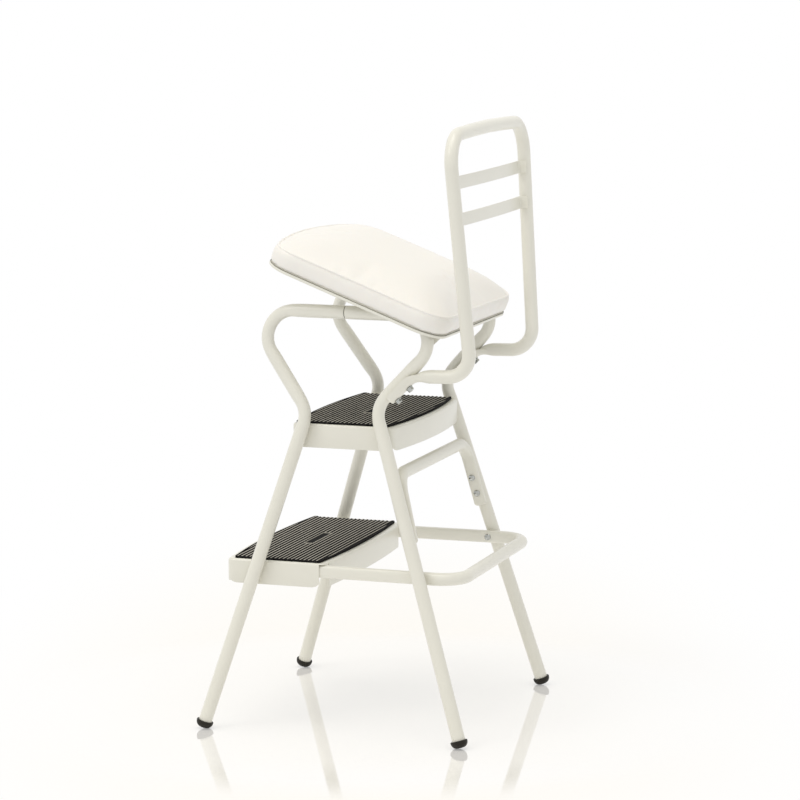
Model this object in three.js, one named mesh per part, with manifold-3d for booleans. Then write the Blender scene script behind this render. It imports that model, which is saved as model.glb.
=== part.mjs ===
import * as THREE from 'three';
import { mergeVertices } from 'three/addons/utils/BufferGeometryUtils.js';
import Module from 'manifold-3d';

// Step stool chair with a lift-up seat, in millimetres. +Z is up, -Y is the front, +X is the chair's left.
// The origin is on the floor, in the middle between the four feet.

// Frame tube and the fits between pieces
const tubeDiameter = 19;
const tubeWall = 1.4;
const tubeBend = 38;
const restGap = 0.3;
const holeClearance = 0.3;
const cutOverrun = 6;

// Side frames: heights above the floor, and places along Y measured from the middle between the feet
const footSpread = 413;
const railSpread = 287;
const railHeight = 594;
const footReach = 191.75;
const frontWaistDrop = 140.2;
const frontWaistPlace = -49.4;
const frontCornerPlace = -146;
const rearWaistDrop = 130.6;
const rearWaistPlace = 50.8;
const rearCornerPlace = 172.3;
const seamPlace = 3;
const spigotLength = 24;
const spigotNeck = 6;
const spigotClearance = 0.5;

// Rubber feet
const footDiameter = 24.5;
const footThickness = 8;
const footRounding = 2;
const footRise = 2;
const footStemLength = 14;

// Backrest hoop
const armDrop = 84.5;
const armRise = 2.3;
const hoopSetBack = 16;
const hoopHeight = 331.5;
const hoopFlare = 25.3;
const hoopLean = 25.4;
const hoopTopArch = 5.5;
const hoopTopBow = 2;
const hoopLowerBend = 32;
const hoopUpperBend = 44;
const saddleStart = 23;
const saddleLength = 46;
const saddleThickness = 5;
const saddleWrap = THREE.MathUtils.degToRad(156);

// Backrest slats
const slatHeight = 18;
const slatThickness = 2;
const slatBow = 4.5;
const slatTab = 13;
const slatBend = 4;
const slatLead = 7;
const slatDrops = { backrest_slat_upper: 65.5, backrest_slat_lower: 116.5 };

// Step treads: a pressed pan with turned-down flanges, and a ribbed rubber mat on it
const sheetThickness = 1.4;
const panRounding = 3.5;
const treadCorner = 8;
const treadClearance = 0.7;
const upperTreadDrop = 158.6;
const upperTreadDepth = 33.5;
const upperTreadFrontReach = 19.8;
const upperTreadRearReach = 14.7;
const upperTreadFrontBulge = 9;
const upperTreadRearBulge = 12;
const stepRise = 194.8;
const lowerTreadDepth = 34.5;
const lowerTreadFrontReach = 50.2;
const lowerMatSetBack = 5.5;
const lowerTreadRearReach = 95.3;
const lowerTreadFrontBulge = 9;
const lowerTreadRearBulge = 8;
const matInset = 4;
const matBase = 1.6;
const ribHeight = 1.2;
const ribPitch = 6.25;
const ribWidth = 3.6;
const edgeBand = 4;
const plateLength = 86;
const plateWidth = 15;
const cornerOpening = 17;

// U-shaped tube that carries the lower step from the rear legs
const supportDiameter = 18;
const supportDrop = 12.1;
const supportArmThickness = 12;
const supportRearReach = 59;
const supportArmOverlap = 43;
const supportBend = 36;
const supportArmFlare = 2;
const supportPressReach = 13;
const supportPressBlend = 22;

// Inverted U brace between the rear legs
const braceDiameter = 18;
const braceDrop = 63.8;
const braceSetBack = 3.8;
const braceLength = 94.6;
const braceBend = 30;
const braceLegThickness = 8;
const braceLegWidth = 22;
const bracePressDrop = 1.6;
const bracePressBlend = 20;

// Seat: sizes from the hinge pin, with the seat closed
const pinAngle = THREE.MathUtils.degToRad(45);
const seatRear = 39.2;
const seatDepth = 276;
const seatFrontBulge = 14;
const seatHalfWidth = 175;
const seatCorner = 40.5;
const seamDrop = 3.2;
const seatLift = THREE.MathUtils.degToRad(21);
const lipHeight = 4.5;
const panWall = 1.2;
const cushionWall = 3;
const cushionSide = 27;
const cushionEdge = 5;
const cushionCrown = 25;
const cushionDraw = 1.6;
const cushionSwell = 1;

// Seat hinges
const earThickness = 2;
const earGap = 0.5;
const earFront = -26;
const earRear = 32.5;
const earRadius = 13;
const earSlopeRear = 31;
const earSlopeDrop = 12;
const earFlange = 16;

// Fasteners
const rivetDiameter = 5;
const rivetHeadDiameter = 9.5;
const rivetHeadHeight = 2.4;
const rivetTail = 3;
const screwDiameter = 5;
const screwHead = 9;
const screwHeadHeight = 4;
const screwFlange = 12;
const screwFlangeHeight = 1.4;
const hingePinDiameter = 6;
const hingePinHead = 11;
const hingePinHeadHeight = 2;
const braceRivetDrops = { upper: 52.7, lower: 75.8 };
const supportRivetSetBack = 4.2;
const upperRivetDrop = 17;
const lowerRivetDrop = 18;
const treadRivetInset = 2.5;
const armRivetReach = 25;
const backrestScrewPlaces = { upper: 55, lower: 31 };

// How finely round shapes are divided
const tubeSides = 12;
const boreSides = 8;
const smallSides = 8;
const pinSides = 16;
const edgeSteps = 6;
const cornerSteps = 6;
const bendStep = THREE.MathUtils.degToRad(16);

const tubeRadius = tubeDiameter / 2;
const boreRadius = tubeRadius - tubeWall;
const sideLean = Math.atan((footSpread - railSpread) / 2 / railHeight);
const sides = { left: 1, right: -1 };
const chair = new THREE.Group();

const frontWaistHeight = railHeight - frontWaistDrop;
const rearWaistHeight = railHeight - rearWaistDrop;
const armHeight = railHeight - armDrop;
const lowerTreadTop = railHeight - upperTreadDrop - stepRise;

const wasm = await Module();
wasm.setup();

// Materials

function paint(color) {
  return new THREE.MeshStandardMaterial({ color, roughness: 0.35, metalness: 0 });
}

function vinyl() {
  return new THREE.MeshStandardMaterial({ color: 0xf6f4ee, roughness: 0.5, metalness: 0 });
}

function rubber() {
  return new THREE.MeshStandardMaterial({ color: 0x1c1a17, roughness: 0.7, metalness: 0 });
}

function zinc() {
  return new THREE.MeshStandardMaterial({ color: 0xb9bab6, roughness: 0.3, metalness: 1 });
}

const framePaint = 0xe6e4db;

// Solids: closed meshes with merged corners, for cutting and joining

function triangleVolume(positions, a, b, c) {
  const [ax, ay, az] = positions.slice(3 * a, 3 * a + 3);
  const [bx, by, bz] = positions.slice(3 * b, 3 * b + 3);
  const [cx, cy, cz] = positions.slice(3 * c, 3 * c + 3);
  return ax * (by * cz - bz * cy) + ay * (bz * cx - bx * cz) + az * (bx * cy - by * cx);
}

function solid(geometry) {
  const plain = new THREE.BufferGeometry();
  plain.setAttribute('position', geometry.getAttribute('position').clone());
  if (geometry.index) plain.setIndex(geometry.index.clone());
  const merged = mergeVertices(plain, 1e-5);
  const positions = merged.getAttribute('position').array;
  const corners = merged.index.array;
  const kept = [];
  let volume = 0;
  for (let i = 0; i < corners.length; i += 3) {
    const [a, b, c] = [corners[i], corners[i + 1], corners[i + 2]];
    if (a === b || b === c || c === a) continue;
    kept.push(a, b, c);
    volume += triangleVolume(positions, a, b, c);
  }
  if (volume < 0) kept.reverse();
  return new wasm.Manifold(new wasm.Mesh({
    numProp: 3,
    vertProperties: new Float32Array(positions),
    triVerts: new Uint32Array(kept),
  }));
}

function geometryOf(manifold) {
  const mesh = manifold.getMesh();
  const geometry = new THREE.BufferGeometry();
  geometry.setAttribute('position', new THREE.BufferAttribute(new Float32Array(mesh.vertProperties), 3));
  geometry.setIndex(new THREE.BufferAttribute(new Uint32Array(mesh.triVerts), 1));
  return geometry;
}

function cut(body, cutters) {
  return cutters.reduce((rest, cutter) => rest.subtract(cutter), body);
}

function join(bodies) {
  return bodies.reduce((whole, body) => whole.add(body));
}

function addPiece(name, body, material, parent = chair) {
  const mesh = new THREE.Mesh(geometryOf(body), material);
  mesh.geometry.computeVertexNormals();
  mesh.name = name;
  parent.add(mesh);
}

// Paths and tubes

// A path of straight runs joined by round bends. A corner without a radius is a point of a gentle curve.
class BentPath extends THREE.Curve {
  constructor(corners) {
    super();
    this.stations = [];
    this.directions = [];
    const points = corners.map((corner) => corner.at);
    const heading = (i) => points[i + 1].clone().sub(points[i]).normalize();
    this.addStation(points[0], heading(0));
    for (let i = 1; i < points.length - 1; i += 1) {
      this.addBend(points[i], heading(i - 1), heading(i), corners[i].radius ?? 0);
    }
    this.addStation(points.at(-1), heading(points.length - 2));
  }

  addStation(point, direction) {
    this.stations.push(point.clone());
    this.directions.push(direction.clone().normalize());
  }

  addBend(corner, before, after, radius) {
    const turn = before.angleTo(after);
    if (radius === 0) {
      this.addStation(corner, before.clone().add(after));
      return;
    }
    const start = corner.clone().addScaledVector(before, -radius * Math.tan(turn / 2));
    const inward = after.clone().addScaledVector(before, -after.dot(before)).normalize();
    const steps = Math.max(2, Math.round(turn / bendStep));
    for (let k = 0; k <= steps; k += 1) {
      const angle = (turn * k) / steps;
      const point = start.clone()
        .addScaledVector(before, radius * Math.sin(angle))
        .addScaledVector(inward, radius * (1 - Math.cos(angle)));
      const direction = before.clone().multiplyScalar(Math.cos(angle))
        .addScaledVector(inward, Math.sin(angle));
      this.addStation(point, direction);
    }
  }

  blend(list, t, target) {
    const place = t * (list.length - 1);
    const index = Math.min(Math.floor(place), list.length - 2);
    return target.copy(list[index]).lerp(list[index + 1], place - index);
  }

  getPoint(t, target = new THREE.Vector3()) {
    return this.blend(this.stations, t, target);
  }

  getPointAt(u, target = new THREE.Vector3()) {
    return this.getPoint(u, target);
  }

  getTangent(t, target = new THREE.Vector3()) {
    return this.blend(this.directions, t, target).normalize();
  }

  getTangentAt(u, target = new THREE.Vector3()) {
    return this.getTangent(u, target);
  }
}

function circlePoints(radius, count) {
  const points = [];
  for (let i = 0; i < count; i += 1) {
    const angle = (2 * Math.PI * i) / count;
    points.push(new THREE.Vector2(radius * Math.cos(angle), radius * Math.sin(angle)));
  }
  return points;
}

function sweep(shape, corners) {
  const extrudePath = new BentPath(corners);
  return new THREE.ExtrudeGeometry(shape, { steps: extrudePath.stations.length - 1, extrudePath });
}

function rodAlong(corners, radius, count = tubeSides) {
  return sweep(new THREE.Shape(circlePoints(radius, count)), corners);
}

function tubeAlong(corners, outerRadius = tubeRadius) {
  const shape = new THREE.Shape(circlePoints(outerRadius, tubeSides));
  shape.holes.push(new THREE.Path(circlePoints(outerRadius - tubeWall, boreSides)));
  return sweep(shape, corners);
}

// A turned form around its own Z axis, from points of radius and height
function turned(profile, count = smallSides) {
  const points = profile.map(([radius, height]) => new THREE.Vector2(radius, height));
  return new THREE.LatheGeometry(points, count).rotateX(Math.PI / 2);
}

// The placing that puts a form's Z axis on the line from one point towards another
function placeAlong(from, direction) {
  const upright = new THREE.Vector3(0, 0, 1);
  const turn = new THREE.Quaternion().setFromUnitVectors(upright, direction.clone().normalize());
  return new THREE.Matrix4().compose(from, turn, new THREE.Vector3(1, 1, 1));
}

// A round cutter from behind a fastener's seat to well beyond its tip
function drill(placing, radius, length, count = smallSides) {
  const rod = new THREE.CylinderGeometry(radius, radius, length + cutOverrun, count)
    .rotateX(Math.PI / 2)
    .translate(0, 0, (cutOverrun - length) / 2);
  return solid(rod.applyMatrix4(placing));
}

// Side frames

// The placing of a side frame's own plane, in which X points away from the chair on its left side
function sidePlacing(side) {
  const lean = new THREE.Matrix4().makeRotationY(-side * sideLean);
  return new THREE.Matrix4().makeTranslation((side * footSpread) / 2, 0, 0).multiply(lean);
}

// A point in a side frame's plane, from its place along Y and its height above the floor
function inPlane(place, height, offset = 0) {
  return new THREE.Vector3(offset, place, height / Math.cos(sideLean));
}

function worldPoint(side, place, height, offset = 0) {
  return inPlane(place, height, offset).applyMatrix4(sidePlacing(side));
}

// A leg's place along Y at a height below the waist
function legPlace(end, height) {
  const waist = end === 'front' ? [frontWaistPlace, frontWaistHeight] : [rearWaistPlace, rearWaistHeight];
  const foot = end === 'front' ? -footReach : footReach;
  return foot + ((waist[0] - foot) * height) / waist[1];
}

// How far the inner faces of the legs stand from the middle at a height
function legInnerFace(height) {
  return worldPoint(1, 0, height, -tubeRadius).x;
}

// The two treads: as wide as the legs leave room for, and reaching past the legs that carry them
const upperTread = {
  top: railHeight - upperTreadDrop,
  depth: upperTreadDepth,
  halfWidth: legInnerFace(railHeight - upperTreadDrop) - treadClearance,
  front: legPlace('front', railHeight - upperTreadDrop) - upperTreadFrontReach,
  rear: legPlace('rear', railHeight - upperTreadDrop) + upperTreadRearReach,
  frontBulge: upperTreadFrontBulge,
  rearBulge: upperTreadRearBulge,
};
const lowerTread = {
  top: lowerTreadTop,
  depth: lowerTreadDepth,
  halfWidth: legInnerFace(lowerTreadTop) - treadClearance,
  front: legPlace('front', lowerTreadTop) - lowerTreadFrontReach,
  rear: legPlace('front', lowerTreadTop) + lowerTreadRearReach,
  frontBulge: lowerTreadFrontBulge,
  rearBulge: lowerTreadRearBulge,
};
const supportHeight = lowerTreadTop - supportDrop;
const supportRivetPlace = legPlace('rear', supportHeight) - supportRivetSetBack;
const supportPressEnd = supportRivetPlace + supportPressReach;
const supportRearPlace = supportRivetPlace + supportRearReach;
const supportFrontEnd = lowerTread.rear - supportArmOverlap;
const armRivetPlace = lowerTread.rear - armRivetReach;
const braceHeight = upperTread.top - braceDrop;
const bracePlace = legPlace('rear', braceHeight) + braceSetBack;
const braceFootHeight = braceHeight - braceLength;
const bracePressLevel = braceHeight - bracePressDrop;

// The hinge pins run through the rear tubes' upper bends
const rearTurn = Math.PI - Math.atan2(rearWaistDrop, rearCornerPlace - rearWaistPlace);
const pinPlace = rearCornerPlace - tubeBend * (Math.tan(rearTurn / 2) - Math.cos(pinAngle));
const pinHeight = railHeight - tubeBend * (1 - Math.sin(pinAngle));

function legCorners(end) {
  const front = end === 'front';
  const floor = inPlane(front ? -footReach : footReach, 0);
  const waist = front ? inPlane(frontWaistPlace, frontWaistHeight) : inPlane(rearWaistPlace, rearWaistHeight);
  const corner = inPlane(front ? frontCornerPlace : rearCornerPlace, railHeight);
  const seam = inPlane(front ? seamPlace - restGap : seamPlace, railHeight);
  const along = waist.clone().sub(floor).normalize();
  const start = floor.clone().addScaledVector(along, footRise + footThickness + restGap);
  return [{ at: start }, { at: waist, radius: tubeBend }, { at: corner, radius: tubeBend }, { at: seam }];
}

// The swaged end of the rear tube, which plugs into the front tube at the rail's seam
function spigot() {
  const outer = boreRadius * Math.cos(Math.PI / boreSides) - spigotClearance;
  const inner = outer - tubeWall;
  const neck = boreRadius + tubeWall / 2;
  const profile = [
    [inner, -spigotNeck], [neck, -spigotNeck], [neck, -restGap], [outer, -restGap],
    [outer, spigotLength], [inner, spigotLength], [inner, -spigotNeck],
  ];
  return turned(profile, boreSides)
    .applyMatrix4(placeAlong(inPlane(seamPlace, railHeight), new THREE.Vector3(0, -1, 0)));
}

function footGeometry(end) {
  const [start, waist] = legCorners(end);
  const along = waist.at.clone().sub(start.at).normalize();
  const radius = footDiameter / 2;
  const stem = boreRadius * Math.cos(Math.PI / boreSides) - restGap;
  const profile = [
    [0, -footThickness - restGap], [radius - footRounding, -footThickness - restGap],
    [radius, footRounding - footThickness - restGap], [radius, -footRounding - restGap],
    [radius - footRounding, -restGap], [stem, -restGap], [stem, footStemLength], [0, footStemLength],
  ];
  return turned(profile, tubeSides).applyMatrix4(placeAlong(start.at, along));
}

function belowFloor() {
  const width = 2 * (footSpread + footReach);
  return solid(new THREE.BoxGeometry(width, width, tubeDiameter).translate(0, 0, -tubeDiameter / 2));
}

// Fasteners: each is set along the Z axis of its placing, with its head above the seat at zero

function rivet(length) {
  const radius = rivetDiameter / 2;
  const head = rivetHeadDiameter / 2;
  return turned([
    [0, -length], [radius, -length], [radius, restGap], [head, restGap],
    [head, restGap + rivetHeadHeight / 3], [head * Math.SQRT1_2, restGap + (rivetHeadHeight * 5) / 6],
    [0, restGap + rivetHeadHeight],
  ]);
}

function hexScrew(length) {
  const radius = screwDiameter / 2;
  const flange = screwFlange / 2;
  const top = restGap + screwFlangeHeight;
  const shank = turned([
    [0, -length], [radius, -length], [radius, restGap], [flange, restGap], [flange, top], [0, top],
  ]);
  const hexagon = new THREE.CylinderGeometry(
    screwHead / Math.sqrt(3), screwHead / Math.sqrt(3), screwHeadHeight, 6,
  ).rotateX(Math.PI / 2).translate(0, 0, top + screwHeadHeight / 2 - restGap);
  return join([solid(shank), solid(hexagon)]);
}

function hingePin(grip) {
  const radius = hingePinDiameter / 2;
  const head = hingePinHead / 2;
  const inner = -grip - restGap;
  return turned([
    [0, inner - hingePinHeadHeight], [head, inner - hingePinHeadHeight], [head, inner], [radius, inner],
    [radius, restGap], [head, restGap],
    [head, restGap + hingePinHeadHeight], [0, restGap + hingePinHeadHeight],
  ], pinSides);
}

// Every fastener with its name, placing, length and hole, so that each cut comes from the piece that fills it
const fasteners = [];

function addFastener(name, kind, from, direction, length) {
  const pin = kind === 'hinge_pin';
  const radius = (pin ? hingePinDiameter : rivetDiameter) / 2 + holeClearance;
  const count = pin ? pinSides : smallSides;
  fasteners.push({ name, kind, placing: placeAlong(from, direction), length, radius, count });
}

function holesFor(...names) {
  return fasteners
    .filter((fastener) => names.some((name) => fastener.name.startsWith(name)))
    .map(({ placing, radius, length, count }) => drill(placing, radius, length + cutOverrun, count));
}

function diagonal() {
  const waist = inPlane(rearWaistPlace, rearWaistHeight);
  const along = inPlane(rearCornerPlace, railHeight).sub(waist).normalize();
  const below = new THREE.Vector3(0, along.z, -along.y);
  return { waist, along, below };
}

function planFasteners() {
  for (const [hand, side] of Object.entries(sides)) {
    const placing = sidePlacing(side);
    const inward = new THREE.Vector3(-side, 0, 0);
    const inwardInPlane = inward.clone().transformDirection(placing);
    const braceSeat = -side * (tubeRadius + 2 * restGap + braceLegThickness);
    for (const [level, drop] of Object.entries(braceRivetDrops)) {
      const height = braceHeight - drop;
      const from = worldPoint(side, legPlace('rear', height), height, braceSeat);
      const length = braceLegThickness + restGap + tubeWall + rivetTail;
      addFastener(`brace_rivet_${level}_${hand}`, 'rivet', from, inwardInPlane, length);
    }
    const arm = supportArmCentre(supportRivetPlace) - supportArmThickness / 2;
    addFastener(
      `support_rivet_${hand}`, 'rivet',
      new THREE.Vector3(side * arm, supportRivetPlace, supportHeight), inward,
      legInnerFace(supportHeight) - arm + tubeWall + rivetTail,
    );
    for (const end of ['front', 'rear']) {
      const height = upperTread.top - upperRivetDrop;
      addTreadRivet(`upper_step_rivet_${end}_${hand}`, upperTread, end, height, side);
    }
    const lowerHeight = lowerTread.top - lowerRivetDrop;
    addTreadRivet(`lower_step_leg_rivet_${hand}`, lowerTread, 'front', lowerHeight, side);
    const armSeat = supportArmCentre(armRivetPlace) - supportArmThickness / 2;
    addFastener(
      `lower_step_arm_rivet_${hand}`, 'rivet',
      new THREE.Vector3(side * armSeat, armRivetPlace, supportHeight), inward,
      lowerTread.halfWidth - armSeat,
    );
    const { waist, along, below } = diagonal();
    for (const [level, distance] of Object.entries(backrestScrewPlaces)) {
      const seat = tubeRadius + restGap + saddleThickness;
      const from = waist.clone().addScaledVector(along, distance).addScaledVector(below, seat);
      addFastener(
        `backrest_screw_${level}_${hand}`, 'screw', from.applyMatrix4(placing),
        below.clone().transformDirection(placing), saddleThickness + restGap + tubeWall + rivetTail,
      );
    }
    const pinOuter = worldPoint(side, pinPlace, pinHeight - hingePinHead / 2, side * tubeRadius).x * side;
    addFastener(
      `hinge_pin_${hand}`, 'hinge_pin', new THREE.Vector3(side * pinOuter, pinPlace, pinHeight),
      new THREE.Vector3(side, 0, 0), pinOuter - earOuterFace() + earThickness,
    );
  }
}

function addTreadRivet(name, tread, end, height, side) {
  const seat = tread.halfWidth - sheetThickness;
  const leg = legPlace(end, height);
  const place = leg - Math.sign(leg) * treadRivetInset;
  addFastener(
    name, 'rivet', new THREE.Vector3(side * seat, place, height),
    new THREE.Vector3(-side, 0, 0), legInnerFace(height) - seat + tubeWall + rivetTail,
  );
}

function addFasteners() {
  for (const fastener of fasteners) {
    const forms = {
      rivet: () => solid(rivet(fastener.length)),
      screw: () => hexScrew(fastener.length),
      hinge_pin: () => solid(hingePin(fastener.length)),
    };
    const group = new THREE.Group();
    group.applyMatrix4(fastener.placing);
    chair.add(group);
    addPiece(fastener.name, forms[fastener.kind](), zinc(), group);
  }
}

function addSideFrames() {
  const floor = belowFloor();
  for (const [hand, side] of Object.entries(sides)) {
    const placing = sidePlacing(side);
    const frontTube = solid(tubeAlong(legCorners('front')).applyMatrix4(placing));
    const rearTube = join([
      solid(tubeAlong(legCorners('rear')).applyMatrix4(placing)),
      solid(spigot().applyMatrix4(placing)),
    ]);
    const frontHoles = holesFor(`upper_step_rivet_front_${hand}`, `lower_step_leg_rivet_${hand}`);
    const rearHoles = holesFor(
      `upper_step_rivet_rear_${hand}`, `brace_rivet_upper_${hand}`, `brace_rivet_lower_${hand}`,
      `support_rivet_${hand}`, `backrest_screw_upper_${hand}`, `backrest_screw_lower_${hand}`,
      `hinge_pin_${hand}`,
    );
    addPiece(`front_leg_tube_${hand}`, cut(frontTube, frontHoles), paint(framePaint));
    addPiece(`rear_leg_tube_${hand}`, cut(rearTube, rearHoles), paint(framePaint));
    for (const end of ['front', 'rear']) {
      const foot = solid(footGeometry(end).applyMatrix4(placing));
      addPiece(`foot_${end}_${hand}`, foot.subtract(floor), rubber());
    }
  }
}

// Backrest

const hoopLowerCorner = new THREE.Vector3(
  worldPoint(1, 0, armHeight).x, rearCornerPlace + hoopSetBack, armHeight + armRise,
);
const hoopUpperCorner = hoopLowerCorner.clone().add(new THREE.Vector3(hoopFlare, -hoopLean, hoopHeight));

function hoopCorners() {
  const { x: lowX, y: lowY, z: lowZ } = hoopLowerCorner;
  const { x: highX, y: highY, z: highZ } = hoopUpperCorner;
  const armStart = worldPoint(1, rearWaistPlace + saddleStart, armHeight);
  const half = (side) => [
    { at: new THREE.Vector3(side * armStart.x, armStart.y, armHeight) },
    { at: new THREE.Vector3(side * lowX, lowY, lowZ), radius: hoopLowerBend },
    { at: new THREE.Vector3(side * highX, highY, highZ), radius: hoopUpperBend },
  ];
  const middle = { at: new THREE.Vector3(0, highY + hoopTopBow, highZ + hoopTopArch) };
  return [...half(1), middle, ...half(-1).reverse()];
}

// The crushed end of the hoop: a crescent that wraps the rear tube's diagonal from below
function saddle(side) {
  const { waist, along, below } = diagonal();
  const inner = tubeRadius + restGap;
  const outer = inner + saddleThickness;
  const shape = new THREE.Shape();
  shape.absarc(0, 0, outer, -saddleWrap / 2, saddleWrap / 2, false);
  shape.absarc(0, 0, inner, saddleWrap / 2, -saddleWrap / 2, true);
  const length = { depth: saddleLength, bevelEnabled: false, curveSegments: boreSides };
  const across = along.clone().cross(below);
  const axes = new THREE.Matrix4().makeBasis(below, across, along);
  const origin = waist.clone().addScaledVector(along, saddleStart);
  return new THREE.ExtrudeGeometry(shape, length)
    .applyMatrix4(axes)
    .translate(origin.x, origin.y, origin.z)
    .applyMatrix4(sidePlacing(side));
}

function rearDiagonalRoom(side) {
  const { waist, along } = diagonal();
  const corner = inPlane(rearCornerPlace, railHeight);
  const beyond = waist.clone().addScaledVector(along, -tubeBend);
  const room = rodAlong([{ at: beyond }, { at: corner }], tubeRadius + restGap, 2 * tubeSides);
  return solid(room.applyMatrix4(sidePlacing(side)));
}

function addBackrest() {
  const outside = solid(rodAlong(hoopCorners(), tubeRadius));
  const bore = solid(rodAlong(hoopCorners(), boreRadius, boreSides));
  const saddles = Object.values(sides).map((side) => solid(saddle(side)));
  const rooms = Object.values(sides).map((side) => rearDiagonalRoom(side));
  const hoop = cut(join([outside, ...saddles]), [bore, ...rooms, ...holesFor('backrest_screw')]);
  addPiece('backrest_hoop', largestPiece(hoop), paint(framePaint));
  for (const [name, drop] of Object.entries(slatDrops)) addSlat(name, hoopUpperCorner.z - drop);
}

// The biggest of the separate bodies that a cut leaves
function largestPiece(body) {
  return body.decompose().reduce((best, next) => (next.volume() > best.volume() ? next : best));
}

function uprightAt(height) {
  const { x: lowX, y: lowY, z: lowZ } = hoopLowerCorner;
  const { x: highX, y: highY, z: highZ } = hoopUpperCorner;
  const share = (height - lowZ) / (highZ - lowZ);
  return { x: lowX + (highX - lowX) * share, y: lowY + (highY - lowY) * share };
}

function addSlat(name, level) {
  const upright = uprightAt(level);
  const low = uprightAt(level - slatHeight / 2);
  const edge = low.x - tubeRadius - 2 * restGap - slatThickness / 2;
  const bowPoints = [];
  const bowShares = [0.75, 0.5, 0.25, 0, -0.25, -0.5, -0.75];
  for (const share of bowShares) {
    bowPoints.push({ at: new THREE.Vector3(edge * share, slatBow * (1 - share * share), 0) });
  }
  const corners = [
    { at: new THREE.Vector3(edge, slatTab, 0) },
    { at: new THREE.Vector3(edge, 0, 0), radius: slatBend },
    ...bowPoints,
    { at: new THREE.Vector3(-edge, 0, 0), radius: slatBend },
    { at: new THREE.Vector3(-edge, slatTab, 0) },
  ];
  const section = new THREE.Shape([
    new THREE.Vector2(-slatHeight / 2, -slatThickness / 2),
    new THREE.Vector2(slatHeight / 2, -slatThickness / 2),
    new THREE.Vector2(slatHeight / 2, slatThickness / 2),
    new THREE.Vector2(-slatHeight / 2, slatThickness / 2),
  ]);
  const lean = Math.atan(hoopLean / hoopHeight);
  const group = new THREE.Group();
  group.position.set(0, upright.y - slatLead, level);
  group.rotation.x = lean;
  chair.add(group);
  addPiece(name, solid(sweep(section, corners)), paint(framePaint), group);
}

// Lofted forms: rings of points, each joined to the next, closed by a centre point at both ends

function loft(rings) {
  const count = rings[0].length;
  const sumOf = (ring) => ring.reduce((sum, point) => sum.add(point), new THREE.Vector3());
  const centre = (ring) => sumOf(ring).divideScalar(count);
  const points = [centre(rings[0]), ...rings.flat(), centre(rings.at(-1))];
  const last = points.length - 1;
  const index = [];
  for (let i = 0; i < count; i += 1) {
    const next = (i + 1) % count;
    index.push(0, 1 + i, 1 + next);
    for (let r = 0; r < rings.length - 1; r += 1) {
      const near = 1 + r * count;
      const far = near + count;
      index.push(near + i, far + i, far + next, near + i, far + next, near + next);
    }
    index.push(last, last - count + next, last - count + i);
  }
  const geometry = new THREE.BufferGeometry().setFromPoints(points);
  geometry.setIndex(index);
  return geometry;
}

// Steps

// A tread's plan: straight sides, front and rear edges that bulge as parabolas, and small round corners
function treadPlan(tread, inset) {
  const { halfWidth, front, rear, frontBulge, rearBulge } = tread;
  const half = halfWidth - inset;
  const corner = Math.max(treadCorner - inset, restGap);
  const plan = new THREE.Path();
  const edge = (place, bulge, sign) => {
    const run = half - corner;
    const shoulder = place + bulge * (1 - (run / half) ** 2);
    const peak = place + bulge * (1 + (run / half) ** 2);
    plan.quadraticCurveTo(sign * half, place, sign * run, shoulder);
    plan.quadraticCurveTo(0, peak, -sign * run, shoulder);
    plan.quadraticCurveTo(-sign * half, place, -sign * half, place - Math.sign(bulge) * corner);
  };
  plan.moveTo(half, rear - inset - corner);
  edge(rear - inset, rearBulge, 1);
  plan.lineTo(-half, front + inset + corner);
  edge(front + inset, -frontBulge, -1);
  return plan.getPoints(edgeSteps);
}

function treadRing(tread, inset, height) {
  return treadPlan(tread, inset).slice(0, -1).map(({ x, y }) => new THREE.Vector3(x, y, height));
}

function pan(tread) {
  const { top, depth } = tread;
  const soft = panRounding;
  const softInner = soft - sheetThickness;
  return loft([
    treadRing(tread, soft, top),
    treadRing(tread, soft * (1 - Math.SQRT1_2), top - soft * (1 - Math.SQRT1_2)),
    treadRing(tread, 0, top - soft),
    treadRing(tread, 0, top - depth),
    treadRing(tread, sheetThickness, top - depth),
    treadRing(tread, sheetThickness, top - soft),
    treadRing(tread, sheetThickness + softInner, top - sheetThickness),
  ]);
}

function prism(tread, inset, low, high) {
  return loft([treadRing(tread, inset, high), treadRing(tread, inset, low)]);
}

function mat(tread) {
  const low = tread.top + restGap;
  const high = low + matBase;
  const base = solid(prism(tread, matInset, low, high));
  const ribs = [];
  const middle = (tread.front + tread.rear) / 2;
  const bulge = Math.min(tread.frontBulge, tread.rearBulge);
  const reach = (tread.rear - tread.front) / 2 + bulge - matInset - edgeBand;
  const count = Math.floor(reach / ribPitch);
  for (let i = -count; i <= count; i += 1) {
    const rib = new THREE.BoxGeometry(2 * tread.halfWidth, ribWidth, ribHeight + restGap)
      .translate(0, middle + i * ribPitch, high + (ribHeight - restGap) / 2);
    ribs.push(solid(rib));
  }
  const field = solid(prism(tread, matInset, low, high + ribHeight));
  const plateRoom = new THREE.BoxGeometry(plateLength, plateWidth, 2 * ribHeight)
    .translate(0, middle, high + ribHeight);
  const pattern = join(ribs).intersect(field).subtract(solid(plateRoom));
  return join([base, pattern]);
}

function addSteps() {
  const upper = cut(solid(pan(upperTread)), holesFor('upper_step_rivet'));
  addPiece('upper_step_pan', upper, paint(framePaint));
  addPiece('upper_step_mat', mat(upperTread), rubber());
  const lower = cut(solid(pan(lowerTread)), [
    ...holesFor('lower_step_leg_rivet', 'lower_step_arm_rivet'),
    ...Object.values(sides).map((side) => cornerRoom(side)),
  ]);
  addPiece('lower_step_pan', lower, paint(framePaint));
  addPiece('lower_step_mat', mat({ ...lowerTread, front: lowerTread.front + lowerMatSetBack }), rubber());
}

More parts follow.
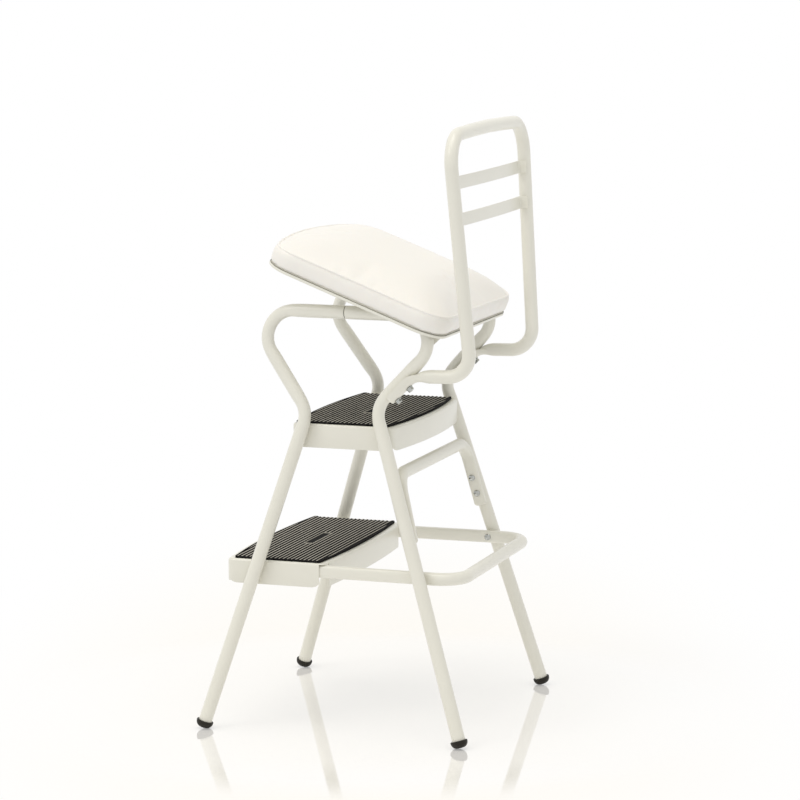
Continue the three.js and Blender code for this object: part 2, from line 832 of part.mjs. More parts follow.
// The open corner between a side flange and the rear flange, where the support tube's arm leaves the pan
function cornerRoom(side) {
  const width = cornerOpening + cutOverrun;
  const length = treadCorner + lowerTread.rearBulge + cutOverrun;
  const height = lowerTread.depth;
  const room = new THREE.BoxGeometry(width, length, height).translate(
    side * (lowerTread.halfWidth + cutOverrun - width / 2),
    lowerTread.rear - treadCorner + length / 2,
    lowerTread.top - sheetThickness - restGap - height / 2,
  );
  return solid(room);
}

// Support tube and brace

function supportArmCentre(place) {
  const inside = lowerTread.halfWidth - sheetThickness - restGap - supportArmThickness / 2;
  const share = (place - lowerTread.rear) / (supportRivetPlace - lowerTread.rear);
  return inside + supportArmFlare * Math.max(0, share);
}

// Moves each point of a form by a rule
function reshape(geometry, rule) {
  const positions = geometry.getAttribute('position');
  const point = new THREE.Vector3();
  for (let i = 0; i < positions.count; i += 1) {
    point.fromBufferAttribute(positions, i);
    rule(point);
    positions.setXYZ(i, point.x, point.y, point.z);
  }
  return geometry;
}

function supportTube(radius, count) {
  const straight = lowerTread.rear;
  const half = (side) => [supportFrontEnd, straight, supportPressEnd]
    .map((place) => ({ at: new THREE.Vector3(side * supportArmCentre(place), place, supportHeight) }));
  const corner = (side) => ({
    at: new THREE.Vector3(side * supportArmCentre(supportRearPlace), supportRearPlace, supportHeight),
    radius: supportBend,
  });
  const path = [...half(1), corner(1), corner(-1), ...half(-1).reverse()];
  return reshape(rodAlong(path, radius, count), (point) => {
    const round = THREE.MathUtils.smoothstep(point.y, supportPressEnd, supportPressEnd + supportPressBlend);
    const centre = Math.sign(point.x) * supportArmCentre(point.y);
    const thin = THREE.MathUtils.lerp(supportArmThickness / supportDiameter, 1, round);
    if (round < 1) point.x = centre + (point.x - centre) * thin;
  });
}

function bracePath() {
  const offset = tubeRadius + restGap + braceLegThickness / 2;
  const half = (side) => {
    const low = worldPoint(side, legPlace('rear', braceFootHeight), braceFootHeight, -side * offset);
    const high = worldPoint(side, bracePlace, braceHeight, -side * offset);
    return [
      { at: low }, { at: high, radius: braceBend },
    ];
  };
  return [...half(1), ...half(-1).reverse()];
}

function brace(radius, count, wall) {
  const flatRadius = braceDiameter / 2;
  return reshape(rodAlong(bracePath(), radius, count), (point) => {
    const side = Math.sign(point.x);
    const flat = 1 - THREE.MathUtils.smoothstep(point.z, bracePressLevel - bracePressBlend, bracePressLevel);
    const local = point.clone().applyMatrix4(sidePlacing(side).invert());
    const centreX = -side * (tubeRadius + restGap + braceLegThickness / 2);
    const centreY = legPlace('rear', point.z);
    const thinShare = (braceLegThickness / 2 - wall) / (flatRadius - wall);
    const wideShare = (braceLegWidth / 2 - wall) / (flatRadius - wall);
    local.x = centreX + (local.x - centreX) * THREE.MathUtils.lerp(1, thinShare, flat);
    local.y = centreY + (local.y - centreY) * THREE.MathUtils.lerp(1, wideShare, flat);
    if (flat > 0) point.copy(local.applyMatrix4(sidePlacing(side)));
  });
}

function addSupports() {
  const armBore = (supportDiameter / 2) - tubeWall;
  const supportBore = solid(supportTube(armBore, boreSides));
  const support = solid(supportTube(supportDiameter / 2, tubeSides)).subtract(supportBore);
  addPiece(
    'step_support_tube', cut(support, holesFor('support_rivet', 'lower_step_arm_rivet')), paint(framePaint),
  );
  const braceBore = solid(brace(braceDiameter / 2 - tubeWall, boreSides, tubeWall));
  const braceSolid = solid(brace(braceDiameter / 2, tubeSides, 0)).subtract(braceBore);
  addPiece('leg_cross_brace', cut(braceSolid, holesFor('brace_rivet')), paint(framePaint));
}

// Seat, built closed around the hinge pin and then lifted to the pose of the photograph

const seatGroup = new THREE.Group();
seatGroup.position.set(0, pinPlace, pinHeight);
seatGroup.rotation.x = -seatLift;
chair.add(seatGroup);

const plateTop = railHeight + tubeRadius + restGap + panWall - pinHeight;
const seamLevel = -seamDrop;

// The seat's plan at an inset: a rounded rectangle with the same number of points for every inset
function seatRing(inset, height, draw = 0) {
  const half = seatHalfWidth - inset;
  const rear = seatRear - inset;
  const front = seatRear - seatDepth + inset;
  const radius = seatCorner - inset;
  const sideShares = [-0.6, -0.2, 0.2, 0.6];
  const middleY = (rear + front) / 2;
  const runX = half - radius;
  const runY = (rear - front) / 2 - radius;
  const points = [];
  const quarters = [[1, 1], [-1, 1], [-1, -1], [1, -1]];
  quarters.forEach(([signX, signY], quarter) => {
    for (let k = 0; k <= cornerSteps; k += 1) {
      const angle = (Math.PI / 2) * (quarter + k / cornerSteps);
      points.push(new THREE.Vector3(
        signX * runX + radius * Math.cos(angle), middleY + signY * runY + radius * Math.sin(angle), height,
      ));
    }
    const alongX = quarter % 2 === 0;
    for (const share of sideShares) {
      const pull = draw * (1 - share * share);
      const x = alongX ? -signX * share * runX : signX * (half - pull);
      const bulge = signY < 0 ? seatFrontBulge * (1 - share ** 2) : 0;
      const y = alongX ? middleY + signY * (runY + radius - pull + bulge) : middleY - signY * share * runY;
      points.push(new THREE.Vector3(x, y, height));
    }
  });
  return points;
}

// A ring drawn in towards the seat's middle, for the crown
function crownRing(share, height) {
  const middle = new THREE.Vector3(0, seatRear - seatDepth / 2, 0);
  return seatRing(cushionEdge, 0).map((point) => {
    const drawn = point.clone().sub(middle).multiplyScalar(share).add(middle);
    drawn.z = height;
    return drawn;
  });
}

function seatPan() {
  const outer = cushionWall + restGap;
  const inner = outer + panWall;
  const soft = 2 * panWall;
  const low = seamLevel - lipHeight;
  return loft([
    seatRing(outer + soft, plateTop),
    seatRing(outer, plateTop - soft),
    seatRing(outer, seamLevel - restGap),
    seatRing(0, seamLevel - restGap),
    seatRing(0, low),
    seatRing(inner, low),
    seatRing(inner, plateTop - panWall - soft),
    seatRing(inner + soft, plateTop - panWall),
  ]);
}

function cushion() {
  const shoulder = seamLevel + cushionSide;
  const pocket = plateTop + restGap;
  const crownShares = [0.3, 0.55, 0.74, 0.87, 0.95];
  const powerShares = 3.6;
  const rise = (share) => cushionCrown * (1 - share ** powerShares);
  const crown = crownShares.map((share) => crownRing(share, shoulder + rise(share)));
  return loft([
    ...crown,
    seatRing(cushionEdge, shoulder, cushionDraw),
    seatRing(cushionEdge / 4, shoulder - cushionEdge / 2, cushionDraw),
    seatRing(-cushionSwell / 2, shoulder - cushionEdge - cushionSwell, cushionDraw),
    seatRing(-cushionSwell, seamLevel + cushionSide / 2, cushionDraw),
    seatRing(-cushionSwell / 2, seamLevel + cushionEdge, cushionDraw),
    seatRing(cushionSwell / 2, seamLevel),
    seatRing(cushionWall, seamLevel),
    seatRing(cushionWall, pocket),
  ]);
}

function earOuterFace() {
  return worldPoint(1, 0, railHeight, -tubeRadius).x - earGap;
}

// A hinge ear: an upright plate beside the rail, with a flange turned in under the seat pan
function hingeEar(side) {
  const top = plateTop - panWall - restGap;
  const shape = new THREE.Shape();
  shape.moveTo(earFront, top);
  shape.lineTo(-earRadius, 0);
  shape.absarc(0, 0, earRadius, Math.PI, (3 * Math.PI) / 2, false);
  shape.lineTo(earRadius, -earRadius);
  shape.lineTo(earSlopeRear, -earSlopeDrop);
  shape.lineTo(earRear, 0);
  shape.lineTo(earRear, top);
  shape.closePath();
  const plate = new THREE.ExtrudeGeometry(
    shape, { depth: earThickness, bevelEnabled: false, curveSegments: 6 },
  );
  const axes = new THREE.Matrix4().makeBasis(
    new THREE.Vector3(0, 1, 0), new THREE.Vector3(0, 0, 1), new THREE.Vector3(1, 0, 0),
  );
  const inner = side > 0 ? earOuterFace() - earThickness : -earOuterFace();
  plate.applyMatrix4(axes).translate(inner, 0, 0);
  const flange = new THREE.BoxGeometry(earFlange, earRear - earFront, earThickness).translate(
    side * (earOuterFace() - earFlange / 2), (earRear + earFront) / 2, top - earThickness / 2,
  );
  const pinRoom = new THREE.CylinderGeometry(
    hingePinDiameter / 2 + holeClearance, hingePinDiameter / 2 + holeClearance, 2 * seatHalfWidth, pinSides,
  ).rotateZ(Math.PI / 2);
  return join([solid(plate), solid(flange)]).subtract(solid(pinRoom));
}

function addSeat() {
  addPiece('seat_pan', solid(seatPan()), paint(framePaint), seatGroup);
  addPiece('seat_cushion', solid(cushion()), vinyl(), seatGroup);
  for (const [hand, side] of Object.entries(sides)) {
    addPiece(`seat_hinge_${hand}`, hingeEar(side), paint(framePaint), seatGroup);
  }
}

planFasteners();
addSideFrames();
addBackrest();
addSteps();
addSupports();
addSeat();
addFasteners();

export default chair;
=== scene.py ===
import math

import bmesh
import bpy
import numpy as np
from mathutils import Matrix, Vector
from mathutils.bvhtree import BVHTree


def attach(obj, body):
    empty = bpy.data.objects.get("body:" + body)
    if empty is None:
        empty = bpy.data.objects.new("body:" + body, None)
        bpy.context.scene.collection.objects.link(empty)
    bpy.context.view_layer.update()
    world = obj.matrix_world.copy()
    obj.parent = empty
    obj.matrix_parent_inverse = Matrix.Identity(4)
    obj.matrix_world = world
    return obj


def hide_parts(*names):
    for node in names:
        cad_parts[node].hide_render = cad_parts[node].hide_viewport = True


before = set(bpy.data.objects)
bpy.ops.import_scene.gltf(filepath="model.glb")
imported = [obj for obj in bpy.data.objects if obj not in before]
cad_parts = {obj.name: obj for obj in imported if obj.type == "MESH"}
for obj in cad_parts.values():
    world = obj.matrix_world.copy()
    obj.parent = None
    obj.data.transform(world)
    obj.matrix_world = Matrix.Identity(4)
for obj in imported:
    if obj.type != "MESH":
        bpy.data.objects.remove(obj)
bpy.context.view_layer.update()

# Camera
# Seen from behind the chair's left side, a little above the seat, through a long lens. Azimuth 0 looks
# along +Y and 90 along -X.

AZIMUTH, ELEVATION = 108.44, 8.36
camera_data = bpy.data.cameras.new("camera")
camera_data.lens = 151.155
camera_data.sensor_width = 36.0
camera_data.clip_end = 60.0
camera = bpy.data.objects.new("camera", camera_data)
camera.location = (4.525, 1.543, 1.153)
camera.rotation_euler = (math.radians(90 - ELEVATION), 0.0, math.radians(AZIMUTH))
bpy.context.scene.collection.objects.link(camera)
bpy.context.scene.camera = camera
bpy.context.scene.view_settings.view_transform = "Standard"


# Light and floor
# A white studio: one wide soft light overhead, a weaker one from the camera's left, a white surround,
# and a pale polished floor that mirrors the feet softly and then fades into the white.

def colour(code):
    """Linear RGBA of an sRGB hex code: c / 12.92 under 0.04045, else ((c + 0.055) / 1.055) ** 2.4."""
    parts = [int(code[i:i + 2], 16) / 255 for i in (1, 3, 5)]
    return tuple(c / 12.92 if c <= 0.04045 else ((c + 0.055) / 1.055) ** 2.4 for c in parts) + (1.0,)


def add_node(tree, kind, settings=None, inputs=None):
    """A node of a kind with its own settings; an input takes a value, or a socket that is linked to it."""
    node = tree.nodes.new(kind)
    for name, value in (settings or {}).items():
        setattr(node, name, value)
    for key, value in (inputs or {}).items():
        if isinstance(value, bpy.types.NodeSocket):
            tree.links.new(value, node.inputs[key])
        else:
            node.inputs[key].default_value = value
    return node


def new_material(name):
    """A material with an empty node tree, and that tree."""
    made = bpy.data.materials.new(name)
    made.use_nodes = True
    made.node_tree.nodes.clear()
    return made, made.node_tree


def direct_rays(tree):
    """1 for a ray from the camera or a mirror, 0 for any other."""
    rays = add_node(tree, "ShaderNodeLightPath")
    return add_node(tree, "ShaderNodeMath", {"operation": "MAXIMUM"}, {
        0: rays.outputs["Is Camera Ray"], 1: rays.outputs["Is Glossy Ray"]}).outputs[0]


world = bpy.data.worlds.new("studio")
bpy.context.scene.world = world
world.use_nodes = True
sky = world.node_tree
sky.nodes.clear()
around = add_node(sky, "ShaderNodeBackground", inputs={"Color": colour("#FFFEFB"), "Strength": 0.66})
backdrop = add_node(sky, "ShaderNodeBackground", inputs={"Color": (1, 1, 1, 1), "Strength": 1.0})
mixed = add_node(sky, "ShaderNodeMixShader", inputs={
    0: direct_rays(sky), 1: around.outputs[0], 2: backdrop.outputs[0]})
add_node(sky, "ShaderNodeOutputWorld", inputs={"Surface": mixed.outputs[0]})


def add_lamp(name, place, target, size, power, tint):
    """A square area lamp at a place, turned to a target, both in metres."""
    data = bpy.data.lights.new(name, "AREA")
    data.shape = "SQUARE"
    data.size = size
    data.energy = power
    data.color = colour(tint)[:3]
    lamp = bpy.data.objects.new(name, data)
    lamp.location = place
    lamp.rotation_euler = (Vector(target) - Vector(place)).to_track_quat("-Z", "Y").to_euler()
    bpy.context.scene.collection.objects.link(lamp)


CHAIR_MIDDLE = (0.0, 0.0, 0.4)
add_lamp("overhead", (1.2, -0.6, 11.7), CHAIR_MIDDLE, 8.0, 485.0, "#FFFCF6")
add_lamp("side", (5.2, -3.9, 7.0), CHAIR_MIDDLE, 3.6, 118.0, "#FFFDF9")

FLOOR_HALF = 14
floor_data = bpy.data.meshes.new("floor")
floor_data.from_pydata([(x * FLOOR_HALF, y * FLOOR_HALF, 0) for x, y in ((-1, -1), (1, -1), (1, 1), (-1, 1))],
                       [], [(0, 1, 2, 3)])
floor = bpy.data.objects.new("floor", floor_data)
bpy.context.scene.collection.objects.link(floor)

# Polished floor: matte warm white under a mirror-like polish. Away from the chair it turns into plain white
# light, so no horizon shows. The mirror is an oval round the chair, a little stronger towards +X.
FLOOR_TURN = math.radians(18.44)
floor_material, tree = new_material("polished white floor")
body = add_node(tree, "ShaderNodeBsdfDiffuse", inputs={"Color": colour("#FAF6EF")})
glow = add_node(tree, "ShaderNodeMapRange", inputs={"Value": direct_rays(tree), "To Min": 0.95, "To Max": 1.0})
blank = add_node(tree, "ShaderNodeEmission", inputs={"Color": (1, 1, 1, 1), "Strength": glow.outputs[0]})
where = add_node(tree, "ShaderNodeTexCoord")
oval = add_node(tree, "ShaderNodeMapping", {"vector_type": "TEXTURE"}, {
    "Vector": where.outputs["Object"], "Rotation": (0, 0, FLOOR_TURN), "Scale": (1.05, 0.46, 1.0)})
spot = add_node(tree, "ShaderNodeVectorMath", {"operation": "LENGTH"}, {0: oval.outputs[0]})
fade = add_node(tree, "ShaderNodeMapRange", {"interpolation_type": "SMOOTHSTEP"}, {
    "Value": spot.outputs["Value"], "From Min": 0.3, "From Max": 1.6, "To Min": 0.42})
base = add_node(tree, "ShaderNodeMixShader", inputs={
    0: fade.outputs[0], 1: body.outputs[0], 2: blank.outputs[0]})
mirror = add_node(tree, "ShaderNodeBsdfAnisotropic", inputs={"Color": (1, 1, 1, 1), "Roughness": 0.03})
sheet = add_node(tree, "ShaderNodeMapping", {"vector_type": "TEXTURE"}, {
    "Vector": where.outputs["Object"], "Rotation": (0, 0, FLOOR_TURN), "Scale": (0.57, 0.62, 1.0)})
edge = add_node(tree, "ShaderNodeVectorMath", {"operation": "LENGTH"}, {0: sheet.outputs[0]})
polish = add_node(tree, "ShaderNodeMapRange", {"interpolation_type": "SMOOTHSTEP"}, {
    "Value": edge.outputs["Value"], "From Min": 0.72, "From Max": 0.96, "To Min": 1.0, "To Max": 0.0})
place = add_node(tree, "ShaderNodeSeparateXYZ", inputs={0: sheet.outputs[0]})
strength = add_node(tree, "ShaderNodeMapRange", {"interpolation_type": "SMOOTHSTEP"}, {
    "Value": place.outputs["X"], "From Min": 0.53, "From Max": 0.74, "To Min": 0.36, "To Max": 0.56})
share = add_node(tree, "ShaderNodeMath", {"operation": "MULTIPLY"}, {
    0: polish.outputs[0], 1: strength.outputs[0]})
blend = add_node(tree, "ShaderNodeMixShader", inputs={
    0: share.outputs[0], 1: base.outputs[0], 2: mirror.outputs[0]})
add_node(tree, "ShaderNodeOutputMaterial", inputs={"Surface": blend.outputs[0]})
floor_data.materials.append(floor_material)


# Leg tubes
# Two bent steel tubes on each side, from foot to waist to corner to seat rail: the front one ends at the
# rail's seam, the rear one plugs into it there. Sizes are in mm; a pair is a place along Y and a height. ROOM
# is the gap between pieces that lie against each other.

SPREAD_FEET, SPREAD_RAIL, RAIL = 413.0, 287.0, 594.0
LEAN = math.atan((SPREAD_FEET - SPREAD_RAIL) / 2 / RAIL)
TUBE, BEND, BEND_FLATTENING = 9.5, 38.0, 0.085
FOOT = {"front": -191.75, "rear": 191.75}
WAIST = {"front": (-49.4, 453.8), "rear": (50.8, 463.4)}
CORNER = {"front": -146.0, "rear": 172.3}
SEAM = {"front": 2.1, "rear": 3.0}
ROOM = 0.3
SIDES = (("left", 1), ("right", -1))
ENDS = ("front", "rear")


def in_plane(side, place, height, offset=0.0):
    """A point of a leaning side frame from its place along Y and height, offset outwards on its left side."""
    up = height / math.cos(LEAN)
    x = side * SPREAD_FEET / 2 + offset * math.cos(LEAN) - side * up * math.sin(LEAN)
    return np.array([x, place, side * offset * math.sin(LEAN) + up * math.cos(LEAN)])


def leftward(side):
    """The direction square to a leaning side frame, towards the chair's left."""
    return np.array([math.cos(LEAN), 0.0, side * math.sin(LEAN)])


def leg_place(end, height):
    """The leg's place along Y at a height: foot + (waist - foot) * height / waist height."""
    return FOOT[end] + (WAIST[end][0] - FOOT[end]) * height / WAIST[end][1]


def leg_start(side, end):
    """Where a leg's tube starts, 10.3 mm up from the floor along it, and the direction it takes."""
    foot = in_plane(side, FOOT[end], 0)
    along = unit(in_plane(side, *WAIST[end]) - foot)
    return foot + along * 10.3, along


def unit(v):
    return v / np.linalg.norm(v, axis=-1, keepdims=True)


def run_length(points):
    """The length of a path from its start to each of its points."""
    return np.r_[0, np.cumsum(np.linalg.norm(np.diff(points, axis=0), axis=1))]


def quarter_round(share):
    """How far a quarter circle of radius 1 falls short, 1 to 0: 1 - sqrt(1 - (1 - share)**2)."""
    return 1 - np.sqrt(np.clip(1 - (1 - share) ** 2, 0, 1))


def bent_path(corners, step=3.0, run=8.0):
    """Stations and directions of straight runs joined by arcs. A corner is (point, radius).

    An arc starts radius * tan(turn / 2) before its corner. Arcs get a station every step degrees, runs every
    run mm."""
    points, heads = [], []

    def straight(a, b):
        count = max(1, int(np.linalg.norm(b - a) / run))
        for k in range(count + 1):
            points.append(a + (b - a) * k / count)
            heads.append(unit(b - a))

    last = np.array(corners[0][0], float)
    for i in range(1, len(corners)):
        here, radius = np.array(corners[i][0], float), corners[i][1]
        before = unit(here - last)
        if i == len(corners) - 1 or radius == 0:
            straight(last, here)
            last = here
            continue
        after = unit(np.array(corners[i + 1][0], float) - here)
        turn = math.acos(float(np.clip(before @ after, -1, 1)))
        start = here - before * radius * math.tan(turn / 2)
        straight(last, start)
        inward = unit(after - before * (after @ before))
        count = max(2, int(math.degrees(turn) / step))
        for k in range(1, count):
            a = turn * k / count
            points.append(start + radius * (before * math.sin(a) + inward * (1 - math.cos(a))))
            heads.append(before * math.cos(a) + inward * math.sin(a))
        last = start + radius * (before * math.sin(turn) + inward * (1 - math.cos(turn)))
    points, heads = np.array(points), np.array(heads)
    keep = np.r_[True, np.linalg.norm(np.diff(points, axis=0), axis=1) > 1e-6]
    return points[keep], unit(heads[keep])


def carried_axes(heads, first):
    """Two axes across a path, carried along it without twist.

    Each first axis is the part of the one before it that is square to the path."""
    across = np.zeros_like(heads)
    axis = np.array(first, float)
    for i, head in enumerate(heads):
        axis = unit(axis - head * (axis @ head))
        across[i] = axis
    return across, np.cross(heads, across)


def swept(points, across, other, section):
    """Rings of a section, one for all stations or one each: point = station + u * across + v * other."""
    section = np.broadcast_to(section, (len(points),) + section.shape[-2:])
    return points[:, None] + section[..., :1] * across[:, None] + section[..., 1:] * other[:, None]


def circle(radius, count=40):
    """Points (u, v) of a circle."""
    a = np.arange(count) * 2 * math.pi / count
    return np.stack([radius * np.cos(a), radius * np.sin(a)], 1)


def skin(rings, closed_path=False):
    """Points and faces through equal rings, with a fan over both ends unless the path is closed."""
    rings = np.asarray(rings, float)
    rows, count = rings.shape[:2]
    i = np.arange(count)
    j = (i + 1) % count
    starts = np.arange(rows if closed_path else rows - 1)[:, None] * count
    nexts = ((starts // count + 1) % rows) * count
    faces = np.stack([starts + i, starts + j, nexts + j, nexts + i], -1).reshape(-1, 4).tolist()
    points = rings.reshape(-1, 3)
    if not closed_path:
        points = np.vstack([points, rings[0].mean(0), rings[-1].mean(0)])
        low, high = rows * count, rows * count + 1
        faces += np.stack([np.full(count, low), j, i], 1).tolist()
        last = (rows - 1) * count
        faces += np.stack([np.full(count, high), last + i, last + j], 1).tolist()
    return points, faces


def closed_mesh(name, points, faces):
    """A mesh from points in millimetres, doubles merged and all sides turned outward."""
    data = bpy.data.meshes.new(name)
    data.from_pydata((np.asarray(points, float) / 1000).tolist(), [], faces)
    tidy = bmesh.new()
    tidy.from_mesh(data)
    bmesh.ops.remove_doubles(tidy, verts=tidy.verts, dist=1e-7)
    bmesh.ops.recalc_face_normals(tidy, faces=tidy.faces)
    tidy.to_mesh(data)
    tidy.free()
    return data


def shade_smooth(data, sharp):
    """Smooth shading, with edges over sharp degrees left crisp."""
    data.polygons.foreach_set("use_smooth", [True] * len(data.polygons))
    data.set_sharp_from_angle(angle=math.radians(sharp))


def piece(name, surfaces, material, node=None, body_name="frame", sharp=32.0):
    """A shown piece from closed surfaces in millimetres, in the place of the CAD's node if one is named."""
    points, faces, base = [], [], 0
    for p, f in surfaces:
        points.append(p)
        faces += [[base + k for k in face] for face in f]
        base += len(p)
    data = closed_mesh(name, np.vstack(points), faces)
    shade_smooth(data, sharp)
    data.materials.append(material)
    made = bpy.data.objects.new(name.replace(" ", "_") + "_look", data)
    bpy.context.scene.collection.objects.link(made)
    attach(made, body_name)
    if node:
        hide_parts(node)
    return made


def fine_bump(tree, size, height, detail=2.0):
    """Noise bump: size is the pattern's scale in mm, height its depth in mm."""
    where = add_node(tree, "ShaderNodeTexCoord")
    noise = add_node(tree, "ShaderNodeTexNoise", inputs={
        "Vector": where.outputs["Object"], "Scale": 1000.0 / size, "Detail": detail, "Roughness": 0.5})
    return add_node(tree, "ShaderNodeBump", inputs={
        "Strength": 1.0, "Distance": height / 1000, "Height": noise.outputs[0]})


def plain_material(name, grain, depth, look):
    """A material of one tone with a fine grain, both in mm; look holds the shader's own values."""
    made, tree = new_material(name)
    bump = fine_bump(tree, grain, depth)
    shader = add_node(tree, "ShaderNodeBsdfPrincipled", inputs={**look, "Normal": bump.outputs[0]})
    add_node(tree, "ShaderNodeOutputMaterial", inputs={"Surface": shader.outputs[0]})
    return made


# Warm white powder coat on steel: satin, an orange-peel grain of 2.5 mm and a very slight cloudiness of tone.
paint, tree = new_material("warm white powder coat")
bump = fine_bump(tree, 2.5, 0.012)
where = add_node(tree, "ShaderNodeTexCoord")
cloud = add_node(tree, "ShaderNodeTexNoise", inputs={
    "Vector": where.outputs["Object"], "Scale": 14.0, "Detail": 3.0, "Roughness": 0.6})
tone = add_node(tree, "ShaderNodeMapRange", inputs={
    "Value": cloud.outputs[0], "From Min": 0.3, "From Max": 0.7})
shade = add_node(tree, "ShaderNodeMix", {"data_type": "RGBA"}, {
    "Factor": tone.outputs[0], "A": colour("#E6E4D9"), "B": colour("#E9E7DC")})
coat = add_node(tree, "ShaderNodeBsdfPrincipled", inputs={
    "Base Color": shade.outputs["Result"], "Roughness": 0.30, "IOR": 1.5, "Normal": bump.outputs[0],
    "Coat Weight": 0.15, "Coat Roughness": 0.12})
add_node(tree, "ShaderNodeOutputMaterial", inputs={"Surface": coat.outputs[0]})


def eased_ends(points, heads, round_off=0.8):
    """Radii along a path that ease in at both ends by a quarter round, with the extra stations they need."""
    run = run_length(points)
    extra = round_off * np.array([0.1, 0.35, 1.0])
    stops = np.unique(np.r_[run, extra, run[-1] - extra])
    spots = np.stack([np.interp(stops, run, points[:, k]) for k in range(3)], 1)
    turns = unit(np.stack([np.interp(stops, run, heads[:, k]) for k in range(3)], 1))
    edge = np.minimum(np.minimum(stops, run[-1] - stops), round_off) / round_off
    return spots, turns, round_off * quarter_round(edge)


def bend_share(points, heads, radius):
    """How far a path is bent at each station, 0 where it is straight and 1 in a bend of a radius.

    It is radius * turn / run, averaged over 16 mm."""
    run = run_length(points)
    rate = radius * np.linalg.norm(np.diff(heads, axis=0), axis=1) / np.maximum(np.diff(run), 1e-9)
    grid = np.arange(0, run[-1], 1.0)
    even = np.convolve(np.interp(grid, (run[1:] + run[:-1]) / 2, rate), np.ones(16) / 16, "same")
    return np.clip(np.interp(run, grid, even), 0, 1)


for hand, side in SIDES:
    for end in ENDS:
        path = [(leg_start(side, end)[0], 0), (in_plane(side, *WAIST[end]), BEND),
                (in_plane(side, CORNER[end], RAIL), BEND), (in_plane(side, SEAM[end], RAIL), 0)]
        spots, turns, shrink = eased_ends(*bent_path(path))
        across, other = carried_axes(turns, leftward(side))
        ring = circle(1.0)[None] * (TUBE - shrink)[:, None, None]
        ring[..., 1] *= 1 - BEND_FLATTENING * bend_share(spots, turns, BEND)[:, None]
        name = f"{end}_leg_tube_{hand}"
        piece(name, [skin(swept(spots, across, other, ring))], paint, name)


# Feet
# Black rubber tips on the tube ends, worn flat where they stand on the floor. Each is a bowl of quarter-round
# section with a small rim that closes round the tube.

def turned(profile, place, along, count=40):
    """A form turned round an axis through a place: each (radius, height) of the profile makes a ring."""
    along = unit(np.array(along, float))
    side_axis = unit(np.cross(along, [0.0, 0.31, 0.95] if abs(along[0]) > 0.5 else [1.0, 0.0, 0.0]))
    other = np.cross(along, side_axis)
    ring = circle(1.0, count)
    radii = np.array([p[0] for p in profile], float)[:, None, None]
    heights = np.array([p[1] for p in profile], float)[:, None, None]
    round_it = ring[None, :, :1] * side_axis + ring[None, :, 1:] * other
    return np.array(place) + radii * round_it + heights * along


AXIS = 0.01  # mm: the radius at which a turned form starts and ends


def arc(cx, cy, radius, start, stop, count=6):
    """Points (radius, height) of an arc in a profile, angles in degrees."""
    a = np.radians(np.linspace(start, stop, count))
    return [(cx + radius * math.cos(t), cy + radius * math.sin(t)) for t in a]


def black_rubber(name, dark, light, highlight_colour, least, most, gloss):
    """Rubber with a 0.8 mm grain and a cloudiness of 26 mm between two tones and two roughnesses.

    It turns to a painted highlight colour where its point attribute, the painted highlight on the rib crests,
    is 1."""
    made, tree = new_material(name)
    bump = fine_bump(tree, 0.8, 0.02)
    where = add_node(tree, "ShaderNodeTexCoord")
    cloud = add_node(tree, "ShaderNodeTexNoise", inputs={
        "Vector": where.outputs["Object"], "Scale": 38.0, "Detail": 4.0, "Roughness": 0.65})
    shade = add_node(tree, "ShaderNodeMix", {"data_type": "RGBA"}, {
        "Factor": cloud.outputs[0], "A": colour(dark), "B": colour(light)})
    # The point attribute marks a painted highlight on the rib crests.
    highlight_share = add_node(tree, "ShaderNodeAttribute", {"attribute_name": "painted_highlight"})
    highlighted = add_node(tree, "ShaderNodeMix", {"data_type": "RGBA"}, {
        "Factor": highlight_share.outputs["Fac"], "A": shade.outputs["Result"], "B": colour(highlight_colour)})
    dull = add_node(tree, "ShaderNodeMapRange", inputs={
        "Value": cloud.outputs[0], "From Min": 0.3, "From Max": 0.7, "To Min": least, "To Max": most})
    skin_of_it = add_node(tree, "ShaderNodeBsdfPrincipled", inputs={
        "Base Color": highlighted.outputs["Result"], "Roughness": dull.outputs[0], "Specular IOR Level": gloss,
        "Normal": bump.outputs[0]})
    add_node(tree, "ShaderNodeOutputMaterial", inputs={"Surface": skin_of_it.outputs[0]})
    return made


# Moulded black rubber, a little dusty: dark warm grey with a soft sheen at its edges.
foot_rubber = black_rubber("moulded black rubber", "#1F1D18", "#2C2923", "#2C2923", 0.42, 0.54, 0.2)

bowl = [(4.2 + 7.9 * math.sin(a), 0.4 - 8.7 * math.cos(a)) for a in np.radians(np.linspace(0, 90, 9))]
rim = arc(11.1, 1.0, 1.0, 10, 90, 4) + [(9.75, 2.0), (9.62, 1.8), (9.62, -0.2), (9.5, -0.35), (AXIS, -0.35)]
for hand, side in SIDES:
    for end in ENDS:
        rings = turned([(AXIS, -8.3)] + bowl + rim, *leg_start(side, end))
        rings[..., 2] = np.maximum(rings[..., 2], 0.0)
        name = f"foot_{end}_{hand}"
        piece(name, [skin(rings)], foot_rubber, name, sharp=40)


# Step pans
# Two pressed steel treads: a flat top, a soft edge all round and a turned-down flange, open underneath.
# The lower one's rear corners are left open for the support tube's arms.

def leg_inner(height):
    """How far the inner faces of the legs stand from the middle at a height."""
    return in_plane(1, 0, height, -TUBE)[0]


def tread_sizes(height, depth, front_reach, rear_from, rear_reach, rear_bulge, rear_cut):
    """A tread between the legs: its front and rear edges reach past the legs that carry it."""
    return {"top": height, "half": leg_inner(height) - 0.7, "depth": depth,
            "front": leg_place("front", height) - front_reach, "front_bulge": 9.0,
            "rear": leg_place(rear_from, height) + rear_reach, "rear_bulge": rear_bulge, "rear_cut": rear_cut}


UPPER = tread_sizes(435.4, 33.5, front_reach=19.8, rear_from="rear", rear_reach=14.7, rear_bulge=12.0,
                    rear_cut=0.0)
LOWER = tread_sizes(240.6, 34.5, front_reach=50.2, rear_from="front", rear_reach=95.3, rear_bulge=8.0,
                    rear_cut=5.0)
TOP_ROUND, SHEET = 3.5, 1.4


